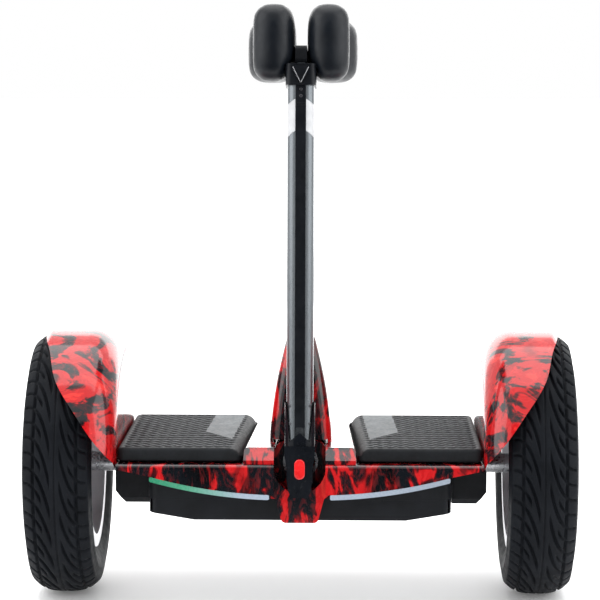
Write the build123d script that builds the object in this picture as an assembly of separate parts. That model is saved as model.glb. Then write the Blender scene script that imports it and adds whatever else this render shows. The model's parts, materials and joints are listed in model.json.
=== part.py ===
from build123d import *
from math import atan2, cos, pi, radians, sin, sqrt
import os

# Self-balancing scooter with two hub-motor wheels and a knee-steered bar.
# +Z is up, +X runs along the axle to the right and the front faces -Y. The origin is on the
# ground, midway between the wheels and under the axle. All sizes are in millimetres.

# ---- Wheels ---------------------------------------------------------------------------------
tyre_diameter = 267.0
tyre_width = 68.0
tyre_clearance = 25.0      # between the deck's end and the tyre
shoulder_half_width = 29.0
shoulder_drop = 9.5        # from the crown down to the shoulder
sidewall_bulge_radius = 104.0
tyre_wall = 8.0
rim_seat_radius = 82.0
rim_width = 58.0
rim_flange_height = 6.0
rim_flange_width = 3.0
rim_wall = 7.0
end_wall = 5.0             # closed outer end of the rim, which is the motor housing
cover_inset = 20.0         # from the rim's inner edge to the motor side cover
cover_thickness = 5.0
cover_screw_count = 10
hub_cap_radius = 84.0
hub_cap_dome = 7.0
hub_cap_thickness = 2.5
valve_radius = 4.0
valve_length = 13.0

# ---- Hub motor ------------------------------------------------------------------------------
magnet_count = 30
magnet_height = 4.0
magnet_length = 18.0
magnet_gap = 1.0
air_gap = 0.7
slot_count = 27
stack_length = 16.0
stack_offset = 9.0         # outward from the tyre's middle plane
tooth_length = 16.0
tooth_width = 5.0
coil_thickness = 2.7
coil_overhang = 3.5
back_iron = 7.0
spider_thickness = 12.0

# ---- Axle and wheel bearings ----------------------------------------------------------------
journal_radius = 10.0
stator_seat_radius = 12.0
tip_radius = 7.5
cable_bore_radius = 3.5
inner_bearing_radius = 18.5
inner_bearing_width = 9.0
outer_bearing_radius = 17.5
outer_bearing_width = 10.0
bearing_ball_count = 9
running_gap = 0.04         # between an axle or shaft and the ring that turns on it
boss_wall = 6.0

# ---- Body -----------------------------------------------------------------------------------
deck_half_length = 181.0   # along the axle
deck_half_width = 118.0    # fore and aft
deck_top = 151.0
deck_wall = 3.0
skirt_end_height = 146.0   # lower edge of the skirt at its outer end
lamp_outer = (148.0, 136.5)
lamp_middle = (86.0, 123.6)
lamp_inner = (30.0, 118.8)
lamp_thickness = 5.0
lamp_depth = 7.0
nose_half_width = 29.0
nose_setback = 7.4         # of the nose behind the deck's front face
nose_bottom = 92.0
nose_bottom_half_width = 17.5
tray_half_length = 151.0
tray_half_width = 95.0
tray_bottom = 113.5
tray_wall = 4.0
tray_floor = 3.0
arm_half_width = 60.0
clamp_half_width = 56.0
clamp_drop = 33.0          # of the clamp below the axle
clamp_overhang = 6.0       # of the clamp past the deck's end
clamp_end_rise = 13.0      # of its bottom at the outer end
clamp_bolt_radius = 3.0

# ---- Battery --------------------------------------------------------------------------------
case_half_length = 150.0
case_half_width = 94.0
case_bottom = 91.5
case_flat_half_length = 105.0
case_end_rise = 7.5        # of the bottom at the case's ends
case_wall = 1.6
lid_thickness = 1.6
cell_radius = 9.0
cell_length = 65.0
cell_columns = 3
cell_rows = 10
cell_pitch = 18.2

# ---- Fenders --------------------------------------------------------------------------------
fender_gap = 4.0           # over the tread
fender_thickness = 3.0
fender_cover = 19.5        # of the fender past the tyre's middle plane
fender_lip_drop = 9.0
fender_lip_run = 8.5
fender_shoulder_radius = 33.0
fender_ear_drop = 12.0     # of the two ears below the deck's top
fender_ear_inner = 18.0
fender_ear_outer = 58.0

# ---- Foot pads ------------------------------------------------------------------------------
mat_top = 166.0
mat_outer = 180.0
mat_inner_front = 57.0
mat_inner_rear = 48.0
mat_half_width = 108.0
mat_corner_outer = 7.0
mat_corner_front = 8.0
mat_corner_rear = 16.0
mat_edge_round = 4.0
mat_lift = 1.6             # of the mat's lower edge above the deck
mat_skin = 3.0
plate_thickness = 3.0
plunger_radius = 5.0
plunger_gap = 0.4
plunger_spacing_x = 60.0
plunger_spacing_y = 144.0
plunger_depth = 8.0
pad_travel = 1.2
switch_gap = 0.3

# ---- Hump -----------------------------------------------------------------------------------
hump_wall = 3.0
hump_side_gap = 1.6        # between the raised base and the mats
# Half width, front end and rear end of the hump at four heights.
hump_sections = (
    (162.0, 31.5, -70.0, 80.0),
    (212.0, 26.5, -66.0, 52.0),
    (246.0, 20.0, -63.0, 20.0),
    (272.0, 13.5, -61.0, -4.0),
)
hump_corner = 12.0
base_front_slope = 12.0

# ---- Steering -------------------------------------------------------------------------------
pivot_height = 147.0
steering_limit = 15.0
recess_gap = 4.8           # beside the bar's foot at its steering limit
recess_back = -73.5
housing_half_width = 27.0
housing_front = -73.0
housing_rear = -8.0
housing_top = 168.0
shaft_radius = 8.0
shaft_front = -104.0
shaft_collar_radius = 11.0
shaft_collar_width = 4.0
steering_bearing_radius = 17.5
steering_bearing_width = 10.0
spring_wire_radius = 1.6
spring_turns = 6
spring_bore_radius = 14.0

# ---- Steering bar ---------------------------------------------------------------------------
lean_angle = 6.5           # of the bar, backward from upright
bar_base = (0.0, -98.0, 150.0)
bar_width = 26.4
bar_depth = 40.0
bar_corner = 9.5
bar_wall = 3.0
bar_start = 24.0
bar_end = 372.0
strip_width = 10.0
strip_depth = 1.0
slide_gap = 0.1
post_wall = 2.5
post_start = 82.0
post_end = 410.0
bar_travel = 240.0
socket_top = 78.0
socket_half_width = 13.0
socket_front = -111.0
socket_back = -77.0
cover_skin = 1.8
cover_front = -118.5
cover_tip = 118.5
collar_width = 30.0
collar_depth = 45.0
collar_height = 21.0
latch_width = 17.0
latch_height = 17.0
latch_thickness = 2.4
latch_travel = 1.5
button_width = 10.4
button_height = 20.0
button_gap = 0.15
button_proud = 1.4
button_travel = 2.5

# ---- Knee pads ------------------------------------------------------------------------------
pad_gap_half = 6.0
pad_start = 373.0
pad_height = 80.0
front_lobe_radius = 21.0
front_lobe_y = -3.0
rear_lobe_radius = 25.0
rear_lobe_y = 85.0
waist_radius = 60.0
pad_round = 14.0
pad_rear_rise = 14.0       # of the pad's underside at its rear end
pad_rear_fall = 9.0        # of its top there
pad_corner = 28.0          # in the side view
pad_nose = 6.0             # of the side view past the lobes' ends
bracket_half_width = 5.7
bracket_height = 18.0
bracket_front = -14.0
bracket_rear = 98.0

# ---- Small parts ----------------------------------------------------------------------------
port_x = -95.0
port_height = 138.0
port_radius = 7.0
port_depth = 14.0
cap_radius = 10.5
cap_thickness = 2.4
cap_gap = 0.3
power_y = 94.0
power_radius = 9.0
power_proud = 1.6
seat_gap = 0.1             # between faces that are only seated on each other

# ---- Sizes that follow ----------------------------------------------------------------------
axle_height = tyre_diameter / 2
crown_radius = tyre_diameter / 2
wheel_x = deck_half_length + tyre_clearance + tyre_width / 2
fender_outer_edge = wheel_x + fender_cover
rim_half = rim_width / 2
barrel_inner = rim_seat_radius - rim_wall
cover_outer_face = -rim_half + cover_inset
cover_inner_face = cover_outer_face + cover_thickness
end_inner_face = rim_half - 2 - end_wall
magnet_inner = barrel_inner - magnet_height
stator_radius = magnet_inner - air_gap
stack_start = stack_offset - stack_length / 2
stack_end = stack_offset + stack_length / 2
fender_outer_radius = crown_radius + fender_gap + fender_thickness
deck_under = deck_top - deck_wall
tray_top = deck_under - seat_gap
mat_bottom = deck_top + mat_lift
lid_top = tray_bottom - seat_gap
case_top = lid_top - lid_thickness
bar_frame = Pos(*bar_base) * Rot(-lean_angle, 0, 0)
plate_bottom = mat_bottom
plate_top = plate_bottom + plate_thickness
base_top = mat_top
recess_radius = ((bar_width / 2 + cover_skin) * cos(radians(steering_limit))
                 + (base_top + 5 - pivot_height) * sin(radians(steering_limit)) + recess_gap)
plunger_x = (mat_outer + mat_inner_front) / 2 - 10


def block(x0, x1, y0, y1, z0, z1):
    """A box between two corners."""
    centre = Pos((x0 + x1) / 2, (y0 + y1) / 2, (z0 + z1) / 2)
    return centre * Box(abs(x1 - x0), abs(y1 - y0), abs(z1 - z0))


def rod_x(radius, x0, x1, y=0.0, z=0.0):
    """A cylinder along X."""
    return Pos((x0 + x1) / 2, y, z) * Rot(0, 90, 0) * Cylinder(radius, abs(x1 - x0))


def rod_y(radius, y0, y1, x=0.0, z=0.0):
    """A cylinder along Y."""
    return Pos(x, (y0 + y1) / 2, z) * Rot(90, 0, 0) * Cylinder(radius, abs(y1 - y0))


def rod_z(radius, z0, z1, x=0.0, y=0.0):
    """A cylinder along Z."""
    return Pos(x, y, (z0 + z1) / 2) * Cylinder(radius, abs(z1 - z0))


def spin(edges):
    """The ring that a closed outline of (x, radius) makes around the X axis."""
    return revolve(Plane.XZ * make_face(edges), Axis.X, 360)


def ring_x(inner, outer, x0, x1):
    """A plain ring around the X axis."""
    return rod_x(outer, x0, x1) - rod_x(inner, x0 - 1, x1 + 1)


def around_x(shape, count, start=0.0):
    """Copies of a shape, evenly turned about the X axis."""
    return [Rot(start + 360 / count * i, 0, 0) * shape for i in range(count)]


def front_prism(points, y0, y1):
    """A prism along Y over a closed (x, z) outline."""
    face = make_face(Polyline(*points, close=True))
    return Pos(0, y1, 0) * extrude(Plane.XZ * face, y1 - y0)


def plan_prism(points, z0, z1):
    """A prism along Z over a closed (x, y) outline."""
    return Pos(0, 0, z0) * extrude(make_face(Polyline(*points, close=True)), z1 - z0)


def mirrored(shape):
    """The same shape on the other side of the middle plane."""
    return mirror(shape, about=Plane.YZ)


def on_wheel(shape):
    """A wheel part, drawn about the X axis, at the right-hand wheel."""
    return Pos(wheel_x, 0, axle_height) * shape


def flat(shapes):
    """One list of solids from shapes and lists of shapes."""
    solids = []
    for shape in shapes:
        solids += flat(shape) if isinstance(shape, (list, tuple)) else list(shape.solids())
    return solids


def save(name, *shapes):
    """Writes one node, as its solid or as a group of separate solids."""
    solids = flat(shapes)
    whole = solids[0] if len(solids) == 1 else Compound(children=solids)
    export_step(whole, f"parts/{name}.step")


# ---- Wheel ----------------------------------------------------------------------------------
def tyre():
    """A tubeless tyre: a hollow ring that is open between its two beads."""
    edge = tyre_width / 2
    bead = rim_half - rim_flange_width - 0.3
    seat = rim_seat_radius + 0.05
    shoulder = crown_radius - shoulder_drop
    toe = bead - tyre_wall * 0.8
    inner_shoulder = (shoulder_half_width - tyre_wall, shoulder - tyre_wall * 0.8)
    bulge = (edge, sidewall_bulge_radius)
    inner_bulge = (edge - tyre_wall, sidewall_bulge_radius)
    knee = (bead, rim_seat_radius + rim_flange_height + 1.5)
    half = shoulder_half_width

    def other(point):
        """The same point on the tyre's other side."""
        return (-point[0], point[1])

    return spin([
        ThreePointArc((-half, shoulder), (0, crown_radius), (half, shoulder)),
        ThreePointArc((half, shoulder), bulge, knee),
        Line(knee, (bead, seat)),
        Line((bead, seat), (toe, seat)),
        ThreePointArc((toe, seat), inner_bulge, inner_shoulder),
        ThreePointArc(inner_shoulder, (0, crown_radius - tyre_wall), other(inner_shoulder)),
        ThreePointArc(other(inner_shoulder), other(inner_bulge), (-toe, seat)),
        Line((-toe, seat), (-bead, seat)),
        Line((-bead, seat), other(knee)),
        ThreePointArc(other(knee), other(bulge), (-half, shoulder)),
    ])


def rim():
    """The cast rim, which is also the rotor housing, closed at its outer end."""
    flange = rim_seat_radius + rim_flange_height
    barrel = ring_x(barrel_inner, rim_seat_radius, -rim_half, rim_half)
    flanges = [
        ring_x(barrel_inner, flange, side * rim_half - rim_flange_width * (side > 0),
               side * rim_half + rim_flange_width * (side < 0))
        for side in (-1, 1)
    ]
    wall = rod_x(barrel_inner + 1, end_inner_face, end_inner_face + end_wall)
    boss_start = end_inner_face + end_wall - outer_bearing_width - 1
    boss = rod_x(outer_bearing_radius + boss_wall, boss_start, end_inner_face + 1)
    seat = rod_x(outer_bearing_radius + 0.02, boss_start - 1, boss_start + outer_bearing_width)
    hole = rod_z(valve_radius + 0.1, barrel_inner - 2, rim_seat_radius + 1, x=valve_x())
    valve_hole = Rot(180 / cover_screw_count, 0, 0) * hole
    shape = barrel + flanges[0] + flanges[1] + wall + boss
    return shape - seat - valve_hole


def valve_x():
    """Place of the tyre valve, between the side cover and the rim's inner edge."""
    return cover_outer_face - valve_radius - 1


def valve():
    """A tyre valve with its flange inside the rim seat and its cap towards the axle."""
    stem = rod_z(valve_radius, barrel_inner - valve_length + rim_wall, rim_seat_radius)
    cap = rod_z(valve_radius + 0.25, barrel_inner - valve_length + 3, barrel_inner - valve_length + 10)
    flange = rod_z(valve_radius + 0.3, rim_seat_radius + 0.05, rim_seat_radius + 2)
    neck = rod_z(valve_radius, rim_seat_radius - 1, rim_seat_radius + 1)
    return Rot(180 / cover_screw_count, 0, 0) * Pos(valve_x(), 0, 0) * (stem + cap + flange + neck)


def side_cover():
    """The motor's side cover with its bearing boss and stiffening ribs."""
    plate = rod_x(barrel_inner - 0.05, cover_outer_face, cover_inner_face)
    boss_end = cover_outer_face + inner_bearing_width
    boss = rod_x(inner_bearing_radius + boss_wall, cover_outer_face - 1.5, boss_end)
    seat = rod_x(inner_bearing_radius + 0.02, cover_outer_face, boss_end + 1)
    opening = rod_x(journal_radius + 2, cover_outer_face - 3, boss_end)
    rib = block(cover_outer_face - 2, cover_outer_face + 1, -2, 2, inner_bearing_radius + boss_wall - 1,
                barrel_inner - 12)
    shape = plate + boss
    for one in around_x(rib, cover_screw_count, 180 / cover_screw_count):
        shape += one
    shape = shape - seat - opening
    for one in around_x(cover_screw_hole(), cover_screw_count):
        shape -= one
    return shape


def cover_screw_hole():
    """The hole of one side-cover screw."""
    return rod_x(2.05, cover_outer_face - 5, cover_inner_face + 1, z=barrel_inner - 5)


def cover_screws():
    """The ring of screws that hold the side cover."""
    head = rod_x(3.6, cover_outer_face - 2.6, cover_outer_face - 0.02, z=barrel_inner - 5)
    shank = rod_x(2.0, cover_outer_face - 1, cover_inner_face, z=barrel_inner - 5)
    socket = Pos(cover_outer_face - 2.6, 0, barrel_inner - 5) * Rot(0, 90, 0) * extrude(
        RegularPolygon(1.8, 6), 1.3)
    return around_x(head + shank - socket, cover_screw_count)


def bearing(bore, radius, width, start):
    """A ball bearing: two rings with the balls between them, around the X axis."""
    middle = (bore + radius) / 2
    ball = (radius - bore) * 0.25
    track_ring = Pos(start + width / 2, 0, 0) * Rot(0, 90, 0) * Torus(middle, ball + 0.03)
    wall = (radius - bore) * 0.3
    inner = ring_x(bore + running_gap, bore + wall, start, start + width) - track_ring
    outer = ring_x(radius - wall, radius, start, start + width) - track_ring
    one = Pos(start + width / 2, 0, middle) * Sphere(ball)
    return [inner, outer, around_x(one, bearing_ball_count)]


def wheel_bearings():
    """The inner bearing in the side cover and the outer one in the rim's end wall."""
    outer_start = end_inner_face + end_wall - outer_bearing_width - 1
    return flat([
        bearing(journal_radius, inner_bearing_radius, inner_bearing_width, cover_outer_face),
        bearing(tip_radius, outer_bearing_radius, outer_bearing_width, outer_start),
    ])


def hub_cap():
    """The domed disc that closes the wheel's outer side."""
    base = rim_half + seat_gap
    edge_x = base + hub_cap_thickness
    rise = hub_cap_dome - hub_cap_thickness

    def dome(x, radius):
        """The arc of a dome from its edge at x to the axis, and the point on the axis."""
        sphere = (radius * radius + rise * rise) / (2 * rise)
        middle = (x + rise - sphere + sqrt(sphere * sphere - radius * radius / 4), radius / 2)
        return ThreePointArc((x, radius), middle, (x + rise, 0))

    outer = dome(edge_x, hub_cap_radius)
    inner = dome(base, hub_cap_radius - hub_cap_thickness)
    return spin([Line((base, hub_cap_radius), outer @ 0), outer, Line(outer @ 1, inner @ 1), inner,
                 Line(inner @ 0, (base, hub_cap_radius))])


def magnets():
    """The ring of magnets inside the rim."""
    ring = ring_x(magnet_inner, barrel_inner - 0.02, stack_offset - magnet_length / 2,
                  stack_offset + magnet_length / 2)
    gap = block(-40, 60, -magnet_gap / 2, magnet_gap / 2, magnet_inner - 5, barrel_inner + 5)
    for one in around_x(gap, magnet_count):
        ring -= one
    return ring.solids()


def stator_core():
    """The laminated core with its teeth, on a spider that is pressed on the axle."""
    root = stator_radius - tooth_length
    yoke = ring_x(root - back_iron, root, stack_start, stack_end)
    tooth = block(stack_start, stack_end, -tooth_width / 2, tooth_width / 2, root - 1, stator_radius - 1)
    tip_ring = ring_x(stator_radius - 2, stator_radius, stack_start, stack_end)
    slot = block(stack_start - 1, stack_end + 1, -1.2, 1.2, stator_radius - 4, stator_radius + 2)
    spider_start = stack_offset - spider_thickness / 2
    spider = ring_x(stator_seat_radius + 0.01, root - back_iron + 1, spider_start,
                    spider_start + spider_thickness)
    window = rod_x(9, stack_start, stack_end, z=(stator_seat_radius + root - back_iron) / 2)
    for one in around_x(slot, slot_count, 180 / slot_count):
        tip_ring -= one
    shape = yoke + spider + tip_ring
    for one in around_x(tooth, slot_count):
        shape += one
    for one in around_x(window, 6):
        shape -= one
    return shape


def windings():
    """One coil around each tooth of the stator."""
    root = stator_radius - tooth_length
    half_width = tooth_width / 2 + coil_thickness
    outer = block(stack_start - coil_overhang, stack_end + coil_overhang, -half_width, half_width,
                  root + 1, stator_radius - 3)
    inner = block(stack_start - 0.05, stack_end + 0.05, -tooth_width / 2 - 0.05, tooth_width / 2 + 0.05,
                  root, stator_radius)
    coil = fillet((outer - inner).edges().filter_by(Axis.Z).group_by(
        lambda e: round(abs(e.center().X - stack_offset), 2))[-1], 2.5)
    return around_x(coil, slot_count)


def axle():
    """The fixed axle: clamped at its inner end, stepped for the stator and both bearings."""
    inner_end = tray_half_length + seat_gap - wheel_x
    seat_start = cover_outer_face + inner_bearing_width + 0.3
    outer_start = end_inner_face + end_wall - outer_bearing_width - 1
    shape = rod_x(journal_radius, inner_end, seat_start)
    shape += rod_x(stator_seat_radius, seat_start, outer_start - 0.3)
    shape += rod_x(tip_radius, outer_start - 0.4, outer_start + outer_bearing_width)
    bore = rod_x(cable_bore_radius, inner_end - 1, seat_start + 6)
    exit_hole = rod_z(cable_bore_radius, 0, stator_seat_radius + 1, x=seat_start + 3)
    return shape - bore - exit_hole


# ---- Body -----------------------------------------------------------------------------------
def lamp_path(offset):
    """The lamp's curve along the skirt, moved up by an offset."""
    return [(x, z + offset) for x, z in (lamp_outer, lamp_middle, lamp_inner)]


def lamp(front_face, depth):
    """A light strip along the lower edge of the skirt, on the right-hand side."""
    top = ThreePointArc(*lamp_path(lamp_thickness / 2))
    bottom = ThreePointArc(*lamp_path(-lamp_thickness / 2))
    ends = [Line(top @ t, bottom @ t) for t in (0, 1)]
    face = Plane.XZ * make_face([top, bottom, *ends])
    bar = Pos(0, front_face + depth, 0) * extrude(face, depth)
    return fillet(bar.edges().filter_by(Axis.Y), 1.6)


def skirt_prism(grow, y0, y1, roof):
    """The deck's cross-section along Y, with its lower edge above the light strips."""
    arc = ThreePointArc(*lamp_path(lamp_thickness / 2 + seat_gap))
    corner = (lamp_inner[0] - 6, lamp_inner[1] + lamp_thickness / 2 + seat_gap)
    end = (deck_half_length - grow, skirt_end_height)
    edges = [
        Line((0, roof), (deck_half_length - grow, roof)),
        Line((deck_half_length - grow, roof), end),
        Line(end, arc @ 0),
        arc,
        Line(arc @ 1, corner),
        Line(corner, (0, corner[1])),
        Line((0, corner[1]), (0, roof)),
    ]
    half = Pos(0, y1, 0) * extrude(Plane.XZ * make_face(edges), y1 - y0)
    return half + mirrored(half)


def recess():
    """The space in which the foot of the steering bar swings."""
    low = rod_y(recess_radius, -deck_half_width - 5, recess_back, z=pivot_height)
    high = block(-recess_radius, recess_radius, -deck_half_width - 5, recess_back, pivot_height,
                 base_top + 5)
    return low + high


def nose():
    """The solid nose under the steering bar, lined around the recess."""
    front = -deck_half_width + nose_setback
    slant = nose_bottom + 24
    lower = front_prism(
        [(-nose_bottom_half_width, nose_bottom), (nose_bottom_half_width, nose_bottom),
         (nose_half_width - 5, slant), (nose_half_width, slant + 4), (nose_half_width, deck_top),
         (-nose_half_width, deck_top), (-nose_half_width, slant + 4), (-nose_half_width + 5, slant)],
        front, -tray_half_width - seat_gap)
    inner = front_prism(
        [(-nose_half_width, tray_bottom), (nose_half_width, tray_bottom),
         (nose_half_width, deck_top), (-nose_half_width, deck_top)],
        -tray_half_width - 1, recess_back - seat_gap)
    chin = lower.edges().filter_by(Axis.Y).group_by(Axis.Z)[0]
    return fillet(chin, 5) + inner


def deck_shell():
    """The painted upper body: deck, front and rear skirts and the nose."""
    outer = skirt_prism(0, -deck_half_width, deck_half_width, deck_top)
    long_edges = outer.edges().filter_by(Axis.X).group_by(Axis.Z)[-1]
    outer = fillet(long_edges, 5)
    inner = skirt_prism(-1, -deck_half_width + deck_wall, deck_half_width - deck_wall, deck_under)
    under = block(-300, 300, -deck_half_width + deck_wall, deck_half_width - deck_wall, 0, deck_under)
    shell = outer - inner - under
    centre = block(-recess_radius, recess_radius, -deck_half_width - 1, -deck_half_width + nose_setback,
                   0, deck_top + 1)
    shell = shell - centre + nose() - recess()
    shell -= block(-housing_half_width - 1, housing_half_width + 1, recess_back, housing_rear + 6,
                   deck_under - 1, deck_top + 1)
    for x in (-1, 1):
        for dx in (-0.5, 0.5):
            for y in (-0.5, 0.5):
                shell -= rod_z(plunger_radius + plunger_gap, deck_under - 1, deck_top + 1,
                               x=x * plunger_x + dx * plunger_spacing_x, y=y * plunger_spacing_y)
    shell -= rod_y(port_radius + seat_gap, deck_half_width - 10, deck_half_width + 5, x=port_x,
                   z=port_height)
    return shell


def arm(side):
    """One end of the chassis, which holds an axle from above."""
    inner, outer = tray_half_length - 1, deck_half_length
    shape = block(side * inner, side * outer, -arm_half_width, arm_half_width, axle_height, tray_top)
    return shape - rod_x(journal_radius, side * (inner - 5), side * (outer + 5), z=axle_height)


def chassis_frame():
    """The cast chassis: an open tray with an arm to each axle."""
    half_x, half_y = tray_half_length, tray_half_width
    tray = block(-half_x, half_x, -half_y, half_y, tray_bottom, tray_top)
    tray = fillet(tray.edges().filter_by(Axis.Z), 10)
    room = block(-half_x + tray_wall, half_x - tray_wall, -half_y + tray_wall, half_y - tray_wall,
                 tray_bottom + tray_floor, tray_top + 1)
    room = fillet(room.edges().filter_by(Axis.Z), 6)
    shape = tray - room
    notch = block(-nose_half_width - 0.5, nose_half_width + 0.5, -half_y - 1, recess_back + 0.3,
                  tray_bottom - 1, tray_top + 1)
    shape -= notch
    shape += arm(-1) + arm(1)
    for side in (-1, 1):
        bore = rod_x(journal_radius + 4, side * (half_x - tray_wall - 1), side * (half_x + 0.2),
                     z=axle_height)
        shape -= bore
    for x, y in board_posts():
        shape += rod_z(3, tray_bottom + tray_floor - 0.5, board_height, x=x, y=y)
    for x, y in clamp_bolt_places():
        shape -= rod_z(clamp_bolt_radius, axle_height - 1, axle_height + 9, x=x, y=y)
    # The skirt's lower edge runs above the tray's ends, so the tray's top corners follow it.
    skirt_room = skirt_prism(-1, -deck_half_width, deck_half_width, deck_top)
    far_ends = block(-300, 300, -half_y - 1, half_y + 1, 0, deck_top)
    return shape & (skirt_room + far_ends)


board_height = 122.0
board_size = (130.0, 78.0)
board_y = 48.0
gyro_size = (40.0, 40.0)
gyro_x = 62.0
gyro_y = -38.0


def board_posts():
    """Places of the posts under the control board and the gyro board."""
    places = []
    for dx in (-0.5, 0.5):
        for dy in (-0.5, 0.5):
            places.append((dx * (board_size[0] - 10), board_y + dy * (board_size[1] - 10)))
            places.append((gyro_x + dx * (gyro_size[0] - 8), gyro_y + dy * (gyro_size[1] - 8)))
    return places


def circuit_boards():
    """The motor controller with its transistors and capacitors, and the small gyro board."""
    z = board_height + 0.02
    board = block(-board_size[0] / 2, board_size[0] / 2, board_y - board_size[1] / 2,
                  board_y + board_size[1] / 2, z, z + 1.6)
    gyro = block(gyro_x - gyro_size[0] / 2, gyro_x + gyro_size[0] / 2, gyro_y - gyro_size[1] / 2,
                 gyro_y + gyro_size[1] / 2, z, z + 1.6)
    gyro += block(gyro_x - 6, gyro_x + 6, gyro_y - 6, gyro_y + 6, z + 1, z + 3.4)
    top = z + 1.5
    for i in range(12):
        x = -55 + i * 10
        board += block(x - 3.5, x + 3.5, board_y + 22, board_y + 31, top, top + 6)
    for i in range(4):
        board += rod_z(6, top, top + 14, x=-42 + i * 28, y=board_y + 6)
    board += block(-12, 12, board_y - 24, board_y - 6, top, top + 3)
    for side in (-1, 1):
        board += block(side * 35, side * 55, board_y - 30, board_y - 20, top, top + 8)
    return [board, gyro]


def clamp_bolt_places():
    """Centres of the eight bolts that pull the axle clamps up."""
    middle = (tray_half_length + deck_half_length) / 2
    return [(side * (middle + dx), dy) for side in (-1, 1) for dx in (-9, 9) for dy in (-22, 22)]


def axle_clamps():
    """The two lower clamp halves, which show as black boxes beside the battery."""
    clamps = []
    for side in (-1, 1):
        inner, outer = tray_half_length + 1.5, deck_half_length + clamp_overhang
        bottom, top = axle_height - clamp_drop, axle_height - seat_gap
        bolt_end = deck_half_length - 4
        outline = Polyline((side * inner, top), (side * inner, bottom), (side * bolt_end, bottom),
                           (side * outer, bottom + clamp_end_rise), (side * outer, top), close=True)
        shape = Pos(0, clamp_half_width, 0) * extrude(Plane.XZ * make_face(outline), 2 * clamp_half_width)
        lower = shape.edges().filter_by(lambda e: abs((e @ 0).Y - (e @ 1).Y) < 0.01).group_by(Axis.Z)[0]
        shape = chamfer(lower, 6)
        shape -= rod_x(journal_radius, side * (inner - 5), side * (outer + 5), z=axle_height)
        for x, y in clamp_bolt_places():
            if x * side > 0:
                shape -= rod_z(clamp_bolt_radius + 0.1, 0, axle_height + 1, x=x, y=y)
        clamps.append(shape)
    return clamps


def clamp_bolts():
    """The bolts of the axle clamps."""
    bolts = []
    for x, y in clamp_bolt_places():
        under = axle_height - clamp_drop - 0.02
        shank = rod_z(clamp_bolt_radius - 0.05, under - 1, axle_height + 8.5, x=x, y=y)
        head = rod_z(clamp_bolt_radius + 2, under - 4, under, x=x, y=y)
        bolts.append(head + shank)
    return bolts


def battery_outline(inset, top):
    """The battery's long section: flat in the middle, with rising ends."""
    low = case_bottom + inset
    end = case_half_length - inset
    return [(-end, top), (end, top), (end, low + case_end_rise), (case_flat_half_length, low),
            (-case_flat_half_length, low), (-end, low + case_end_rise)]


def battery_case():
    """The open battery box."""
    outer = front_prism(battery_outline(0, case_top), -case_half_width, case_half_width)
    outer = fillet(outer.edges().filter_by(Axis.Z), 8)
    inner = front_prism(battery_outline(case_wall, case_top + 1), -case_half_width + case_wall,
                        case_half_width - case_wall)
    return outer - inner


def battery_lid():
    """The lid between the battery box and the chassis."""
    lid = block(-case_half_length, case_half_length, -case_half_width, case_half_width,
                case_top + 0.02, lid_top)
    return fillet(lid.edges().filter_by(Axis.Z), 8)


def battery_cells():
    """Round cells that lie in three columns along the axle."""
    cells = []
    floor = case_bottom + case_wall + 0.1
    for column in range(cell_columns):
        x = (column - (cell_columns - 1) / 2) * (cell_length + 2)
        for row in range(cell_rows):
            y = (row - (cell_rows - 1) / 2) * cell_pitch
            cells.append(rod_x(cell_radius, x - cell_length / 2, x + cell_length / 2, y=y,
                               z=floor + cell_radius))
    return cells


def bms_board():
    """The battery's protection board, on edge beside the cells."""
    x = cell_columns / 2 * (cell_length + 2) + 9
    floor = case_bottom + case_wall + 3.5
    board = block(x - 6, x + 14, -60, 60, floor, floor + 1.6)
    for i in range(5):
        board += block(x - 3, x + 6, -50 + 22 * i, -40 + 22 * i, floor + 1.5, floor + 5)
    foot = block(x - 6, x - 3, -60, 60, case_bottom + case_wall + 0.1 + 1.6, floor + 1)
    return board + foot


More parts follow.
